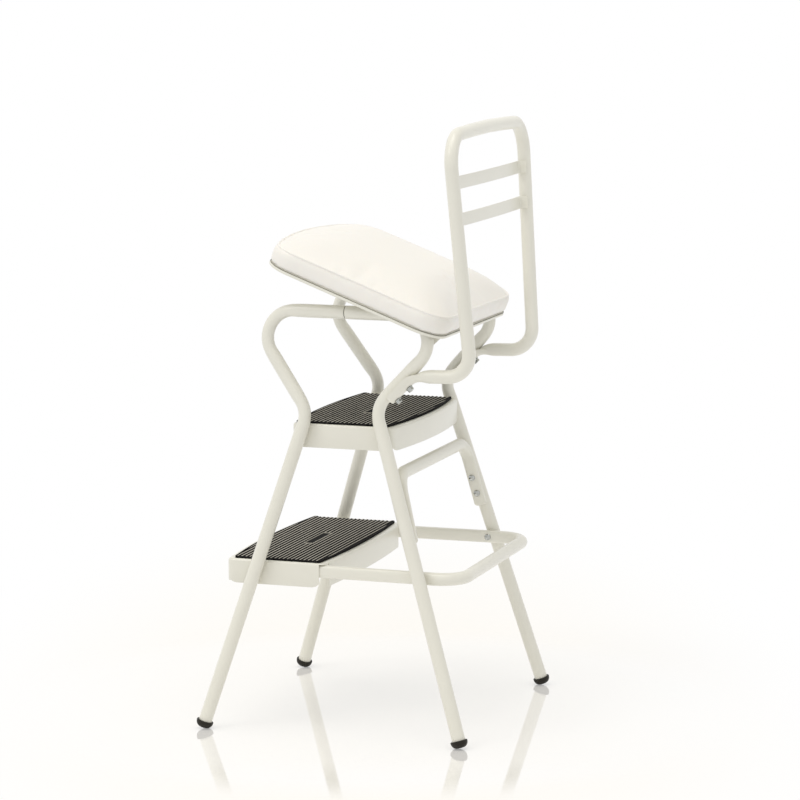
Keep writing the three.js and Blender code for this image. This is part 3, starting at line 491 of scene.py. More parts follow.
def bowed(a, b, c, count):
    """Points of a curve without its last: (1 - t)**2 * a + 2 * t * (1 - t) * b + t**2 * c."""
    t = (np.arange(count) / count)[:, None]
    return (1 - t) ** 2 * np.array(a) + 2 * t * (1 - t) * np.array(b) + t ** 2 * np.array(c)


def tread_plan(tread, inset, edge=48, turn=10, flank=24):
    """The outline in plan: straight flanks, front and rear edges bulged as parabolas, small round corners."""
    half, corner = tread["half"] - inset, max(8.0 - inset, 0.3)
    parts = []
    for sign, place, bulge in ((1, tread["rear"] - inset, tread["rear_bulge"]),
                               (-1, tread["front"] + inset, -tread["front_bulge"])):
        run = half - corner
        shoulder = place + bulge * (1 - (run / half) ** 2)
        peak = place + bulge * (1 + (run / half) ** 2)
        back = place - math.copysign(corner, bulge)
        opposite = tread["front"] + inset + corner if sign > 0 else tread["rear"] - inset - corner
        parts += [bowed((sign * half, back), (sign * half, place), (sign * run, shoulder), turn),
                  bowed((sign * run, shoulder), (0, peak), (-sign * run, shoulder), edge),
                  bowed((-sign * run, shoulder), (-sign * half, place), (-sign * half, back), turn),
                  bowed((-sign * half, back), (-sign * half, (back + opposite) / 2), (-sign * half, opposite),
                        flank)]
    return np.vstack(parts)


def corner_lift(tread, plan):
    """How far the lower edge is drawn up near a corner: 5 * (1 - (distance - 3) / 9) ** 1.6 mm."""
    rear = tread["rear"] - tread["rear_cut"]
    away = np.hypot(tread["half"] - np.abs(plan[:, 0]),
                    np.minimum(np.abs(plan[:, 1] - tread["front"]), np.abs(plan[:, 1] - rear)))
    return 5.0 * np.clip(1 - (away - 3.0) / 9.0, 0, 1) ** 1.6


def tread_ring(tread, inset, height):
    """The outline at a height, drawn up at its corners where that is the flange's lower edge."""
    plan = tread_plan(tread, inset)
    low = height < tread["top"] - tread["depth"] + 1.0
    return np.column_stack([plan, height + low * corner_lift(tread, plan)])


def pan_surface(tread):
    """Rings from the top's soft edge down the flange, round its lower lip and up inside it."""
    top, low = tread["top"], tread["top"] - tread["depth"]
    profile = [(x, top + z) for x, z in arc(TOP_ROUND, -TOP_ROUND, TOP_ROUND, 90, 180, 8)]
    profile += [(0, low + 0.5), (0.15, low + 0.12), (0.5, low), (0.9, low), (1.25, low + 0.12),
                (SHEET, low + 0.5)]
    profile += [(x, top + z) for x, z in arc(TOP_ROUND, -TOP_ROUND, TOP_ROUND - SHEET, 180, 90, 6)]
    return skin([tread_ring(tread, inset, z) for inset, z in profile])


def block(low, high):
    """A box surface between two corners."""
    (x0, y0, z0), (x1, y1, z1) = low, high
    points = [(x, y, z) for x in (x0, x1) for y in (y0, y1) for z in (z0, z1)]
    return points, [(0, 1, 3, 2), (4, 6, 7, 5), (0, 4, 5, 1), (2, 3, 7, 6), (0, 2, 6, 4), (1, 5, 7, 3)]


def keep_modified(made):
    """Makes a piece's mesh what its modifiers show, and takes the modifiers off."""
    bpy.context.view_layer.update()
    view = bpy.context.evaluated_depsgraph_get()
    data = bpy.data.meshes.new_from_object(made.evaluated_get(view))
    made.modifiers.clear()
    made.data = data


def cut_away(made, cutters, sharp):
    """Takes closed surfaces out of a piece with exact booleans and keeps the result as its mesh."""
    tools = []
    for points, faces in cutters:
        tool = bpy.data.objects.new("cutter", closed_mesh("cutter", points, faces))
        bpy.context.scene.collection.objects.link(tool)
        change = made.modifiers.new("cut", "BOOLEAN")
        change.operation, change.solver, change.object = "DIFFERENCE", "EXACT", tool
        tools.append(tool)
    keep_modified(made)
    for tool in tools:
        bpy.data.objects.remove(tool)
    shade_smooth(made.data, sharp)


piece("upper step pan", [pan_surface(UPPER)], paint, "upper_step_pan")
lower_pan = piece("lower step pan", [pan_surface(LOWER)], paint, "lower_step_pan")
corner_rooms = []
for side in (1, -1):
    low_x, high_x = sorted((side * (LOWER["half"] - 17.0), side * (LOWER["half"] + 5.0)))
    corner_rooms.append(block((low_x, LOWER["rear"] - 8.0, LOWER["top"] - 40.0),
                              (high_x, LOWER["rear"] + 14.0, LOWER["top"] - 1.7)))
cut_away(lower_pan, corner_rooms, sharp=32)


# Step mats
# A ribbed rubber mat on each tread: rounded ribs across it, smooth bands along the front and rear edges,
# and a plain raised frame in the middle.

def ribbed_mat(tread):
    """A height field over the mat's outline: groove + rib * sqrt(1 - (off / half width)**2) on each rib.

    Gives points, faces and each point's share of painted highlight: 0 in the grooves, 1 on the lit crests and
    the frame."""
    half, corner = tread["half"] - 4.0, 4.0
    low = tread["top"] + ROOM
    groove, rib, pitch, half_width = low + 1.6, 1.2, 6.25, 1.95
    band, rib_start = 2.6, 3.4
    plate_x, plate_y, frame_width, moat, step = 21.5, 7.5, 1.3, 0.9, 0.4
    turn = np.sin(np.radians(np.linspace(0, 90, 9)))
    inner = np.linspace(0, half - corner, 75)
    right = np.r_[inner, half - corner + corner * turn[1:]]
    x = np.r_[-right[:0:-1], right]
    drop = corner * quarter_round(1 - np.clip(np.abs(x) - (half - corner), 0, None) / corner)
    front = tread["front"] + 4.0 - tread["front_bulge"] * (1 - (x / half) ** 2) + drop
    rear = tread["rear"] - 8.0 + tread["rear_bulge"] * (1 - (x / half) ** 2) - drop
    start, stop = tread["front"] + 7.0, tread["rear"] - 11.0
    t = np.linspace(0, 1, 30)[:, None]
    between = np.repeat(np.arange(start + step, stop, step)[:, None], len(x), 1)
    y = np.vstack([front + t * (start - front), between, stop + t * (rear - stop)])
    x = np.broadcast_to(x, y.shape)
    middle = (tread["front"] + tread["rear"]) / 2
    turns = (y - middle) / pitch
    off = np.abs(turns - np.round(turns)) * pitch
    ends = np.minimum(y - front, rear - y)
    height = rib * np.sqrt(np.clip(1 - (off / half_width) ** 2, 0, 1)) * (ends > rib_start)
    height = height * np.clip((half - np.abs(x) - 1.6) / 1.6, 0, 1)
    # Painted highlight: the rounded rib tops are coloured pale where light would catch them.
    painted_highlight = np.clip((height / rib - 0.84) / 0.12, 0, 1)
    height = np.where(ends < band, rib * 0.9, height)
    within = np.minimum(plate_x - np.abs(x) / 2, plate_y - np.abs(y - middle))
    on_frame = (within > 0) & (within < frame_width)
    height = np.where(within > -moat, 0.1, height)
    height = np.where(on_frame, rib, np.where(within >= frame_width, 0.15, height))
    # The raised frame's top takes the painted highlight too; the moat and the plate stay dark.
    painted_highlight = np.where(within > -moat, on_frame, painted_highlight)
    soft = 0.6
    z = groove + height - soft * quarter_round(np.clip(np.minimum(ends, half - np.abs(x)) / soft, 0, 1))
    rows, count = y.shape
    points = np.stack([x, y, z], -1).reshape(-1, 3)
    i = (np.arange(rows - 1)[:, None] * count + np.arange(count - 1)).reshape(-1)
    faces = np.stack([i, i + 1, i + count + 1, i + count], 1).tolist()
    rim = np.r_[np.arange(count), np.arange(1, rows) * count + count - 1,
                (rows - 1) * count + np.arange(count - 2, -1, -1), np.arange(rows - 2, 0, -1) * count]
    foot = points[rim].copy()
    foot[:, 2] = low
    base, n = len(points), len(rim)
    k = np.arange(n)
    m = (k + 1) % n
    faces += np.stack([rim[k], base + k, base + m, rim[m]], 1).tolist()
    faces.append((base + k[::-1]).tolist())
    return np.vstack([points, foot]), faces, np.r_[painted_highlight.reshape(-1), np.zeros(n)]


# Ribbed black rubber: dull black grooves, and crests painted pale: a painted highlight on the lit rib tops.
rubber = black_rubber("ribbed black rubber", "#060505", "#0E0D0B", "#C4C0B6", 0.72, 0.84, 0.1)


def laid_mat(name, tread, node):
    """A mat with its share of painted highlight as a point attribute."""
    points, faces, painted_highlight = ribbed_mat(tread)
    mat = piece(name, [(points, faces)], rubber, node, sharp=50)
    mat.data.attributes.new("painted_highlight", "FLOAT", "POINT").data.foreach_set("value", painted_highlight.astype(np.float32))


laid_mat("upper step mat", UPPER, "upper_step_mat")
laid_mat("lower step mat", {**LOWER, "front": LOWER["front"] + 5.5}, "lower_step_mat")


# Support tube and brace
# A U of round tube whose pressed arms carry the lower step from the rear legs, and an upside-down U whose
# flattened legs lie against the inner faces of the rear legs.

def eased(value, start, stop):
    """0 before start, 1 after stop, 3 t**2 - 2 t**3 between them."""
    t = np.clip((value - start) / (stop - start), 0, 1)
    return t * t * (3 - 2 * t)


def pressed(first, second, power, count=48):
    """A section for each station, from a circle (power 2) to a flat band: |u / a|**n + |v / b|**n = 1."""
    a = np.arange(count) * 2 * math.pi / count
    cos, sin = np.cos(a)[None], np.sin(a)[None]
    first, second, power = (np.asarray(v, float)[:, None] for v in (first, second, power))
    u = first * np.sign(cos) * np.abs(cos) ** (2 / power)
    v = second * np.sign(sin) * np.abs(sin) ** (2 / power)
    return np.stack([u, v], -1)


THIN_TUBE, ARM_THICK = 9.0, 6.0
SUPPORT_Z = LOWER["top"] - 12.1
SUPPORT_RIVET = leg_place("rear", SUPPORT_Z) - 4.2


def arm_centre(place):
    """The arm's middle beside the centre plane: along the pan's flank, then opening by 2 mm to its rivet."""
    share = (place - LOWER["rear"]) / (SUPPORT_RIVET - LOWER["rear"])
    return LOWER["half"] - 7.7 + 2.0 * max(0.0, share)


def arm_point(side, place):
    """A point of the support tube's middle line on one arm."""
    return (side * arm_centre(place), place, SUPPORT_Z)


ARM_STOPS = [LOWER["rear"] - 43.0, LOWER["rear"], SUPPORT_RIVET + 13.0]
arms = [[(arm_point(side, p), 0) for p in ARM_STOPS] + [(arm_point(side, SUPPORT_RIVET + 59.0), 36.0)]
        for side in (1, -1)]
path = arms[0] + arms[1][::-1]
spots, heads, shrink = eased_ends(*bent_path(path, run=5.0))
across, other = carried_axes(heads, (0, 0, 1))
full = eased(spots[:, 1], ARM_STOPS[2], ARM_STOPS[2] + 22.0)
thick = ARM_THICK + (THIN_TUBE - ARM_THICK) * full
rings = swept(spots, across, other, pressed(THIN_TUBE - shrink, thick - shrink, 3.2 - 1.2 * full))
piece("step support tube", [skin(rings)], paint, "step_support_tube", sharp=50)

BRACE_Z = UPPER["top"] - 63.8
BRACE_THICK = 4.0
BRACE_OFF = TUBE + ROOM + BRACE_THICK


def brace_corners(side):
    """One leg of the brace from its low end to its bend."""
    low, high = BRACE_Z - 94.6, BRACE_Z
    return [(in_plane(side, leg_place("rear", low) - 1.0, low, -side * BRACE_OFF), 0),
            (in_plane(side, leg_place("rear", high) + 3.8, high, -side * BRACE_OFF), 30.0)]


spots, heads, shrink = eased_ends(*bent_path(brace_corners(1) + brace_corners(-1)[::-1], run=3.0), 4.5)
across, other = carried_axes(heads, (0, 1, 0))
flat = 1 - eased(spots[:, 2], BRACE_Z - 24.0, BRACE_Z - 3.0)
thick = THIN_TUBE - (THIN_TUBE - BRACE_THICK) * flat
rings = swept(spots, across, other,
              pressed(THIN_TUBE + 0.3 * flat - shrink, thick - shrink * 0.5, 2.0 + 1.4 * flat))
piece("leg cross brace", [skin(rings)], paint, "leg_cross_brace", sharp=50)


# Backrest
# One bent tube: each end is crushed into a saddle under the rear tube's diagonal, leaves it as a round arm,
# and turns up into the upright. Two bowed flat slats join the uprights.

def side_diagonal(side):
    """The sharp waist of a rear tube, and the directions along its diagonal and square below it."""
    waist = in_plane(side, *WAIST["rear"])
    along = unit(in_plane(side, CORNER["rear"], RAIL) - waist)
    return waist, along, np.cross(along, leftward(side))


ARM_Z = RAIL - 84.5
SADDLE_MIDDLE, SADDLE_THICK = TUBE + ROOM + 2.6, 5.0
LOW_CORNER = np.array([in_plane(1, 0, ARM_Z)[0], CORNER["rear"] + 16.0, ARM_Z + 2.3])
UPRIGHT = np.array([25.3, -25.4, 331.5])
HIGH_CORNER = LOW_CORNER + UPRIGHT


def hoop_corners(side):
    """One side of the hoop: its crushed end, where it leaves the tube, and the upright's two ends."""
    waist, along, below = side_diagonal(side)
    centre = waist + below * SADDLE_MIDDLE
    leave = centre + along * ((ARM_Z - centre[2]) / along[2])
    mirror = np.array([side, 1, 1])
    return [(centre + along * 23.0, 0), (leave, 30.0),
            (LOW_CORNER * mirror, 32.0), (HIGH_CORNER * mirror, 44.0)]


top = HIGH_CORNER * np.array([0, 1, 1]) + np.array([0, 2.0, 5.5])
spots, heads = bent_path(hoop_corners(1) + [(top, 2400.0)] + hoop_corners(-1)[::-1], step=2.5, run=4.0)
across, other = carried_axes(heads, side_diagonal(1)[2])
run = run_length(spots)
from_end = np.minimum(run, run[-1] - run)
# The saddle's section is a crescent round the rear tube: an outer and an inner arc, 78 degrees each way.
turn = np.arange(48) * 2 * math.pi / 48
wrap = np.arcsin(np.sin(turn)) / (math.pi / 2) * math.radians(78)
reach = np.where(np.cos(turn) >= -1e-9, TUBE + ROOM + SADDLE_THICK, TUBE + 0.35)
crescent = np.stack([reach * np.cos(wrap) - SADDLE_MIDDLE, reach * np.sin(wrap)], 1)
share = eased(from_end, 34.0, 70.0)[:, None, None]
tip = (1 - 0.25 * quarter_round(np.clip(from_end / 2.5, 0, 1)))[:, None, None]
rings = swept(spots, across, other, ((1 - share) * crescent + share * circle(TUBE, 48)) * tip)
# Whatever would reach into the rear tube is pushed out to its skin.
for side in (1, -1):
    waist, along, below = side_diagonal(side)
    ours = (rings[..., 0] * side > 0) & (rings[..., 1] < 150)
    rel = rings - waist
    radial = rel - (rel @ along)[..., None] * along
    far = np.linalg.norm(radial, axis=-1)
    push = np.where(ours & (far < TUBE + ROOM), (TUBE + ROOM) / np.maximum(far, 1e-6), 1.0)
    rings = rings + radial * (push - 1)[..., None]
piece("backrest hoop", [skin(rings)], paint, "backrest_hoop", sharp=60)


def upright_at(height):
    """The left upright's middle at a height."""
    return LOW_CORNER + UPRIGHT * (height - LOW_CORNER[2]) / UPRIGHT[2]


def slat(name, drop, node):
    """A flat strip 18 by 2 mm with rounded edges, bowed to the rear by 4.5 mm.

    Its ends are turned back on the uprights, and it leans with them."""
    level = HIGH_CORNER[2] - drop
    lean = math.atan(-UPRIGHT[1] / UPRIGHT[2])
    half_wide, half_thick, edge_round, tab, bend = 8.4, 0.4, 0.6, 13.0, 4.0
    edge = upright_at(level - half_wide - edge_round)[0] - TUBE - 1.6
    bow = [((edge * s, 4.5 * (1 - s * s), 0), 0) for s in np.linspace(0.95, -0.95, 39)]
    corners = ([((edge, tab, 0), 0), ((edge, 0, 0), bend)] + bow
               + [((-edge, 0, 0), bend), ((-edge, tab, 0), 0)])
    points, directions = bent_path(corners, step=8.0, run=6.0)
    up = np.broadcast_to(np.array([0, 0, 1.0]), points.shape)
    a = np.radians(np.linspace(0, 360, 16, endpoint=False) + 11.25)
    cos, sin = np.cos(a), np.sin(a)
    section = np.stack([np.sign(cos) * half_wide + edge_round * cos,
                        np.sign(sin) * half_thick + edge_round * sin], 1)
    strip = swept(points, up, np.cross(directions, up), section)
    tilt = np.array([[1, 0, 0], [0, math.cos(lean), -math.sin(lean)], [0, math.sin(lean), math.cos(lean)]])
    strip = strip @ tilt.T + np.array([0, upright_at(level)[1] - 7.0, level])
    piece(name, [skin(strip)], paint, node, sharp=50)


slat("upper backrest slat", 65.5, "backrest_slat_upper")
slat("lower backrest slat", 116.5, "backrest_slat_lower")


# Seat pan and hinges
# A pressed seat tray, open underneath, with a rounded lip, and the two ears that hang it on the rear tubes.
# It is built closed around the hinge pin and turned up by 21 degrees.

# The pin is on the middle line of the rear tube's top bend, 45 degrees round it from the rail.
REAR_TURN = math.pi - math.atan2(RAIL - WAIST["rear"][1], CORNER["rear"] - WAIST["rear"][0])
PIN = np.array([0, CORNER["rear"] - BEND * (math.tan(REAR_TURN / 2) - math.sqrt(0.5)),
                RAIL - BEND * (1 - math.sqrt(0.5))])
LIFT = math.radians(21)
SEAT = {"half": 175.0, "rear": 39.2, "depth": 276.0, "corner": 40.5, "bulge": 14.0}
SEAT_MIDDLE = SEAT["rear"] - SEAT["depth"] / 2
PLATE_TOP = RAIL + TUBE + 1.5 - PIN[2]
SEAM_LEVEL, LIP = -3.2, 4.5


def lifted(points):
    """Seat points turned about the pin: y' = y cos a + z sin a, z' = z cos a - y sin a."""
    p = np.asarray(points, float)
    c, s = math.cos(LIFT), math.sin(LIFT)
    return np.stack([p[..., 0], p[..., 1] * c + p[..., 2] * s, p[..., 2] * c - p[..., 1] * s], -1) + PIN


def seat_ring(inset, height, draw=0.0, turn=14, side=30):
    """A rounded rectangle in plan, its sides drawn in and its front bulged out by (1 - s**2) of a depth."""
    half, radius = SEAT["half"] - inset, SEAT["corner"] - inset
    run_x, run_y = half - radius, SEAT["depth"] / 2 - inset - radius
    parts = []
    for quarter, (sx, sy) in enumerate(((1, 1), (-1, 1), (-1, -1), (1, -1))):
        a = (math.pi / 2) * (quarter + np.arange(turn) / turn)
        parts.append(np.stack([sx * run_x + radius * np.cos(a),
                               SEAT_MIDDLE + sy * run_y + radius * np.sin(a)], 1))
        s = np.linspace(-1, 1, side, endpoint=False)
        pull = draw * (1 - s * s)
        if quarter % 2 == 0:
            bulge = SEAT["bulge"] * (1 - s * s) * (sy < 0)
            parts.append(np.stack([-sx * s * run_x, SEAT_MIDDLE + sy * (run_y + radius - pull + bulge)], 1))
        else:
            parts.append(np.stack([sx * (half - pull), SEAT_MIDDLE - sy * s * run_y], 1))
    plan = np.vstack(parts)
    return np.column_stack([plan, np.full(len(plan), height)])


pan_low = SEAM_LEVEL - LIP
profile = arc(5.7, PLATE_TOP - 2.4, 2.4, 90, 180, 5)
profile += [(3.3, SEAM_LEVEL - 0.4), (1.4, SEAM_LEVEL - 0.4), (0.5, SEAM_LEVEL - 0.75), (0.1, SEAM_LEVEL - 1.5),
            (0, SEAM_LEVEL - 2.3), (0.1, pan_low + 1.0), (0.5, pan_low + 0.35), (1.3, pan_low), (3.6, pan_low),
            (4.2, pan_low + 0.2), (4.5, pan_low + 0.8), (4.5, PLATE_TOP - 3.6), (6.9, PLATE_TOP - 1.2)]
piece("seat pan", [skin([lifted(seat_ring(inset, z)) for inset, z in profile])], paint, "seat_pan", "seat")

EAR_OUT, EAR_SHEET = in_plane(1, 0, RAIL, -TUBE)[0] - 0.5, 2.0
EAR_TOP, EAR_FRONT, EAR_REAR = PLATE_TOP - 1.5, -26.0, 32.5
ear = np.array([(EAR_FRONT, EAR_TOP), (-13, 0)] + arc(0, 0, 13, 190, 270, 9)
               + [(14, -21), (25, -25), (32, -10), (EAR_REAR, EAR_TOP)])


def slab(outline, low, high, soft=0.4):
    """A plate between two places along X from its outline in (y, z), the edges broken by soft mm."""
    middle = outline.mean(0)
    drawn = middle + (outline - middle) * (1 - soft / 16)
    levels = [(drawn, low), (outline, low + soft), (outline, high - soft), (drawn, high)]
    return skin([np.column_stack([np.full(len(o), x), o]) for o, x in levels])


for hand, side in SIDES:
    plate, plate_faces = slab(ear, *sorted((side * (EAR_OUT - EAR_SHEET), side * EAR_OUT)))
    low_x, high_x = sorted((side * (EAR_OUT - 16.0), side * (EAR_OUT - 1.0)))
    flange, flange_faces = block((low_x, EAR_FRONT, EAR_TOP - EAR_SHEET), (high_x, EAR_REAR, EAR_TOP))
    piece(f"seat hinge {hand}", [(lifted(plate), plate_faces), (lifted(flange), flange_faces)], paint,
          f"seat_hinge_{hand}", "seat")


# Seat cushion
# A padded vinyl cover over the tray: upright sides, a welded ridge round the top edge and a gentle crown.
# The cover is filled by a short cloth simulation, then hollowed for the tray.

# Smooth warm white vinyl: satin, a fine leather grain of 1.6 mm and soft unevenness over 40 mm.
vinyl, tree = new_material("warm white vinyl")
bump = fine_bump(tree, 1.6, 0.03, detail=3.0)
where = add_node(tree, "ShaderNodeTexCoord")
swell = add_node(tree, "ShaderNodeTexNoise", inputs={
    "Vector": where.outputs["Object"], "Scale": 25.0, "Detail": 1.0, "Roughness": 0.4})
soft_bump = add_node(tree, "ShaderNodeBump", inputs={
    "Strength": 1.0, "Distance": 0.0005, "Height": swell.outputs[0], "Normal": bump.outputs[0]})
cover = add_node(tree, "ShaderNodeBsdfPrincipled", inputs={
    "Base Color": colour("#F3F0EA"), "Roughness": 0.42, "IOR": 1.5, "Normal": soft_bump.outputs[0],
    "Subsurface Weight": 0.04, "Subsurface Radius": (0.004, 0.003, 0.002)})
add_node(tree, "ShaderNodeOutputMaterial", inputs={"Surface": cover.outputs[0]})

SIDE_HEIGHT, CROWN, DRAW = 27.0, 23.6, 1.6
SHOULDER = SEAM_LEVEL + SIDE_HEIGHT


def drawn_ring(share, height):
    """The shoulder ring drawn in to a share of its size around the seat's middle."""
    middle = np.array([0, SEAT_MIDDLE, height])
    return middle + (seat_ring(5.0, height, DRAW) - middle) * share


def cushion_surface():
    """Crown, sides and bottom: height = shoulder + crown * (1 - share**3.6) over the top."""
    shares = np.r_[np.linspace(0.04, 0.88, 24), 0.91, 0.94, 0.97]
    rings = [drawn_ring(s, SHOULDER + CROWN * (1 - s ** 3.6)) for s in shares]
    rings += [seat_ring(inset, SHOULDER - drop, DRAW) for inset, drop in ((4.6, 0.1), (2.4, 0.9), (0.9, 2.6))]
    for t in (0.2, 0.4, 0.6, 0.8):
        rings.append(seat_ring(0.4 - 0.6 * math.sin(math.pi * t), SHOULDER - 2.6 - (SIDE_HEIGHT - 4.2) * t,
                               DRAW * (1 - t * 0.6)))
    rings += [seat_ring(0.5, SEAM_LEVEL + 1.6, 0.3), seat_ring(1.1, SEAM_LEVEL + 0.5),
              seat_ring(2.2, SEAM_LEVEL)]
    return rings + [drawn_ring(s, SEAM_LEVEL) for s in np.linspace(0.95, 0.06, 14)]


points, faces = skin(cushion_surface())
pad = piece("seat cushion", [(lifted(points), faces)], vinyl, "seat_cushion", "seat", sharp=60)


def seat_space(co):
    """World points in metres back into the closed seat's own millimetres."""
    p = co * 1000 - PIN
    c, s = math.cos(LIFT), math.sin(LIFT)
    return np.stack([p[:, 0], p[:, 1] * c - p[:, 2] * s, p[:, 1] * s + p[:, 2] * c], 1)


def vertices(data):
    """A mesh's points as an array, in metres."""
    co = np.zeros(len(data.vertices) * 3, np.float32)
    data.vertices.foreach_get("co", co)
    return co.reshape(-1, 3).astype(float)


LAST_FRAME, TRAVEL = 20, 0.0025


def fill(obj):
    """Blows the cover up by cloth pressure, its underside held and its ridge held a little.

    Each point's travel is then cut to 2.5 mm."""
    even = obj.modifiers.new("even", "REMESH")
    even.mode, even.voxel_size, even.use_smooth_shade = "VOXEL", 0.0045, True
    keep_modified(obj)
    before = vertices(obj.data)
    level = seat_space(before)[:, 2]
    held = obj.vertex_groups.new(name="held")
    held.add(np.nonzero(level < SEAM_LEVEL + 3.0)[0].tolist(), 1.0, "REPLACE")
    held.add(np.nonzero((level > SHOULDER - 3.5) & (level < SHOULDER + 0.9))[0].tolist(), 0.35, "REPLACE")
    cloth = obj.modifiers.new("cloth", "CLOTH")
    setting = cloth.settings
    setting.quality, setting.mass, setting.air_damping = 6, 0.35, 2.0
    setting.tension_stiffness = setting.compression_stiffness = 14.0
    setting.shear_stiffness, setting.bending_stiffness = 8.0, 8.0
    setting.vertex_group_mass = "held"
    setting.pin_stiffness = 1.0
    setting.use_pressure, setting.uniform_pressure_force = True, 4.0
    setting.shrink_min = -0.003
    setting.effector_weights.gravity = 0.0
    cloth.point_cache.frame_start, cloth.point_cache.frame_end = 1, LAST_FRAME
    scene = bpy.context.scene
    scene.frame_start, scene.frame_end = 1, LAST_FRAME
    for number in range(1, LAST_FRAME + 1):
        scene.frame_set(number)
    view = bpy.context.evaluated_depsgraph_get()
    filled = bpy.data.meshes.new_from_object(obj.evaluated_get(view))
    obj.modifiers.clear()
    scene.frame_set(1)
    travel = vertices(filled) - before
    size = np.linalg.norm(travel, axis=1, keepdims=True)
    after = before + travel * np.minimum(1.0, TRAVEL / np.maximum(size, 1e-9))
    filled.vertices.foreach_set("co", after.astype(np.float32).ravel())
    filled.update()
    obj.data = filled
    obj.vertex_groups.clear()


fill(pad)
smooth = pad.modifiers.new("smooth", "SUBSURF")
smooth.levels = smooth.render_levels = 1
keep_modified(pad)


def tray_room():
    """The hollow that takes the tray's walls: its outer sides with 0.2 mm of room, from below the seam up."""
    levels = [(5.4, PLATE_TOP + 0.4), (3.5, PLATE_TOP - 1.4), (3.1, PLATE_TOP - 2.6), (3.1, SEAM_LEVEL - 3.0)]
    points, faces = skin([seat_ring(inset, z) for inset, z in levels])
    return lifted(points), faces


def seat_cord(name, line, radius, count, material):
    """A round cord of a radius along a closed line on the seat."""
    heads = unit(np.roll(line, -1, 0) - np.roll(line, 1, 0))
    up = lifted([0, 0, 1.0]) - lifted([0, 0, 0.0])
    across = unit(np.cross(heads, up))
    cord = skin(swept(line, across, np.cross(heads, across), circle(radius, count)), closed_path=True)
    piece(name, [cord], material, body_name="seat")


# The welt lies where the filled cover is nearest to the shoulder; its line is smoothed by (1, 2, 1) / 4.
surface = BVHTree.FromPolygons([tuple(v) for v in vertices(pad.data)],
                               [tuple(p.vertices) for p in pad.data.polygons])
line = []
for point in lifted(seat_ring(2.6, SHOULDER - 0.4, DRAW)) / 1000:
    spot, normal = surface.find_nearest(Vector(point))[:2]
    line.append(np.array(spot) * 1000 + np.array(normal) * 0.3)
line = np.array(line)
for step in range(6):
    line = (np.roll(line, 1, 0) + 2 * line + np.roll(line, -1, 0)) / 4
cut_away(pad, [tray_room()], sharp=60)
seat_cord("seat cushion welt", line, 1.8, 18, vinyl)

# Grey matt cord, a painted shadow: it lies in the joint between the cover and the tray's lip, a dark line
# standing in for the shadow of the seam's gap.
seam_shadow_grey = plain_material("painted seam shadow grey", 1.0, 0.02, {
    "Base Color": colour("#827F75"), "Roughness": 0.7, "Specular IOR Level": 0.2})
# The cord is painted shadow along the seam.
seat_cord("seat seam shadow strip", lifted(seat_ring(1.0, SEAM_LEVEL + 0.1)), 0.38, 12, seam_shadow_grey)


# Fasteners
# Bright zinc-plated rivets with domed heads, flanged hex screws under the backrest's saddles, and the hinge
# pins with a flat head at both ends.

# Zinc plate on steel: bright, faintly brushed, with a 0.6 mm grain that softens its reflections.
zinc = plain_material("bright zinc plate", 0.6, 0.006, {
    "Base Color": colour("#B4B6B3"), "Metallic": 1.0, "Roughness": 0.2})

# Plain steel of the swaged tube ends, oxidised dark grey and matt; its darkness is partly painted shade, so
# that each rail joint reads as a thin dark line.
swaged = plain_material("oxidised steel and painted joint shade", 0.8, 0.01, {
    "Base Color": colour("#4A463C"), "Metallic": 0.3, "Roughness": 0.6})


def fastener(node, surfaces, sharp):
    """A zinc-plated piece in the place of a fastener's node."""
    piece(node.replace("_", " "), surfaces, zinc, node, sharp=sharp)


def shank(length):
    """The profile of a plain shank, 5 mm thick, from its far end up to its head."""
    return [(AXIS, -length), (2.2, -length), (2.5, 0.3 - length), (2.5, 0.3)]


def rivet(node, place, direction, length):
    """A domed head on a plain shank: 9.5 mm wide, 2.7 mm high, its dome z = 0.75 + 1.95 * cos(a)."""
    dome = [(4.75 * math.sin(a), 0.75 + 1.95 * math.cos(a)) for a in np.radians(np.linspace(90, 4, 10))]
    profile = shank(length) + [(4.4, 0.3), (4.7, 0.4)] + dome + [(AXIS, 2.7)]
    fastener(node, [skin(turned(profile, place, direction, 32))], 50)


def hex_screw(node, place, direction, length):
    """A shank, a 10.6 mm flange and a hexagonal head 8.2 mm across its flats with a chamfered top."""
    flange = [(5.0, 0.3), (5.3, 0.6), (5.3, 1.2), (4.8, 1.7), (3.8, 1.75), (AXIS, 1.75)]
    edge = 8.2 / math.sqrt(3)
    head = [(edge, 1.3), (edge, 4.9), (edge * 0.93, 5.35), (edge * 0.6, 5.5), (AXIS, 5.5)]
    fastener(node, [skin(turned(shank(length) + flange, place, direction, 36)),
                    skin(turned(head, place, direction, 6))], 28)


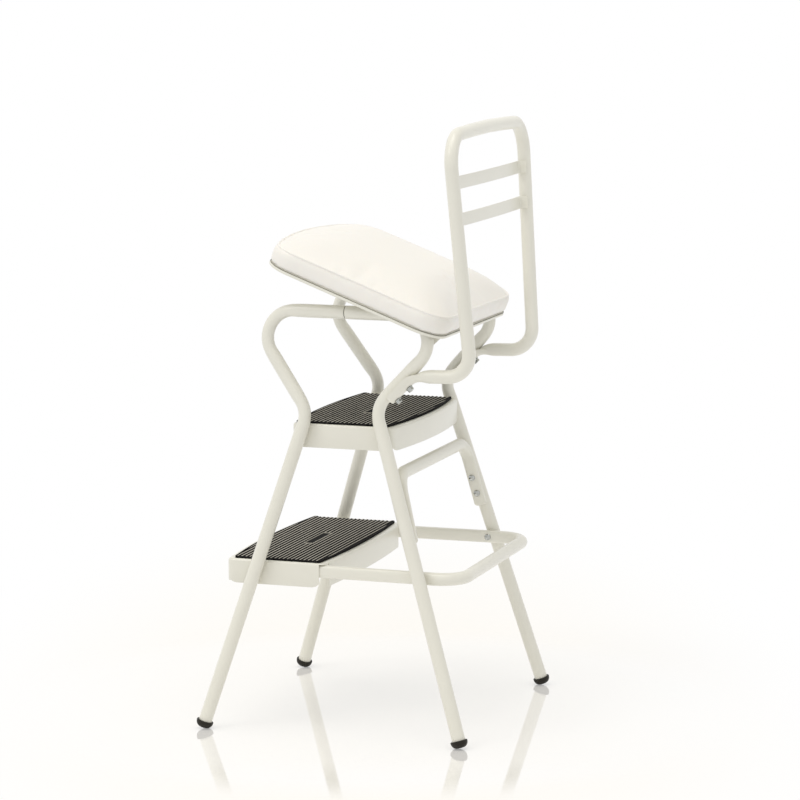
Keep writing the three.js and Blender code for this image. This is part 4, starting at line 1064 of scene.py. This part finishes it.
SCREW_SEAT = TUBE + ROOM + SADDLE_THICK
BRACE_FACE = TUBE + 2 * ROOM + 2 * BRACE_THICK
ARM_HALF = 6.0
collar = [(AXIS, 0), (8.0, 0), (8.6, 0.6), (8.6, 5.4), (8.0, 6.0), (AXIS, 6.0)]
inner_head = [(AXIS, 2.3), (4.6, 2.3), (5.4, 1.7), (5.5, 0.8), (5.5, 0.3), (3.0, 0.3)]
outer_head = [(3.0, 0.3), (5.5, 0.3), (5.5, 0.9), (5.2, 1.7), (4.3, 2.2), (AXIS, 2.3)]
step_rivets = [("upper_step_rivet_front", UPPER, "front", 17.0),
               ("upper_step_rivet_rear", UPPER, "rear", 17.0),
               ("lower_step_leg_rivet", LOWER, "front", 18.0)]
for hand, side in SIDES:
    inward = (-side, 0, 0)
    # The collar shows in the slot of each rail joint; its dark grey is partly painted shade.
    piece(f"rail joint collar {hand}", [skin(turned(collar, in_plane(side, 0, RAIL), (0, 1, 0)))], swaged,
          sharp=40)
    for level, drop in (("upper", 52.7), ("lower", 75.8)):
        height = BRACE_Z - drop
        place = in_plane(side, leg_place("rear", height), height, -side * BRACE_FACE)
        rivet(f"brace_rivet_{level}_{hand}", place, -side * leftward(side), 12.7)
    start = arm_centre(SUPPORT_RIVET) - ARM_HALF
    rivet(f"support_rivet_{hand}", (side * start, SUPPORT_RIVET, SUPPORT_Z), inward,
          leg_inner(SUPPORT_Z) - start + 4.4)
    for label, tread, end, drop in step_rivets:
        height, start = tread["top"] - drop, tread["half"] - SHEET
        leg = leg_place(end, height)
        rivet(f"{label}_{hand}", (side * start, leg - math.copysign(2.5, leg), height), inward,
              leg_inner(height) - start + 4.4)
    place = LOWER["rear"] - 25.0
    start = arm_centre(place) - ARM_HALF
    rivet(f"lower_step_arm_rivet_{hand}", (side * start, place, SUPPORT_Z), inward,
          LOWER["half"] - start - 1.7)
    waist, along, below = side_diagonal(side)
    for level, distance in (("upper", 55.0), ("lower", 31.0)):
        hex_screw(f"backrest_screw_{level}_{hand}", waist + along * distance + below * SCREW_SEAT, below, 9.7)
    outer = in_plane(1, PIN[1], PIN[2] - 5.5, TUBE)[0]
    grip = outer - EAR_OUT + EAR_SHEET
    profile = [(radius, -grip - z) for radius, z in inner_head] + outer_head
    fastener(f"hinge_pin_{hand}", [skin(turned(profile, (side * outer, PIN[1], PIN[2]), (side, 0, 0), 32))], 40)
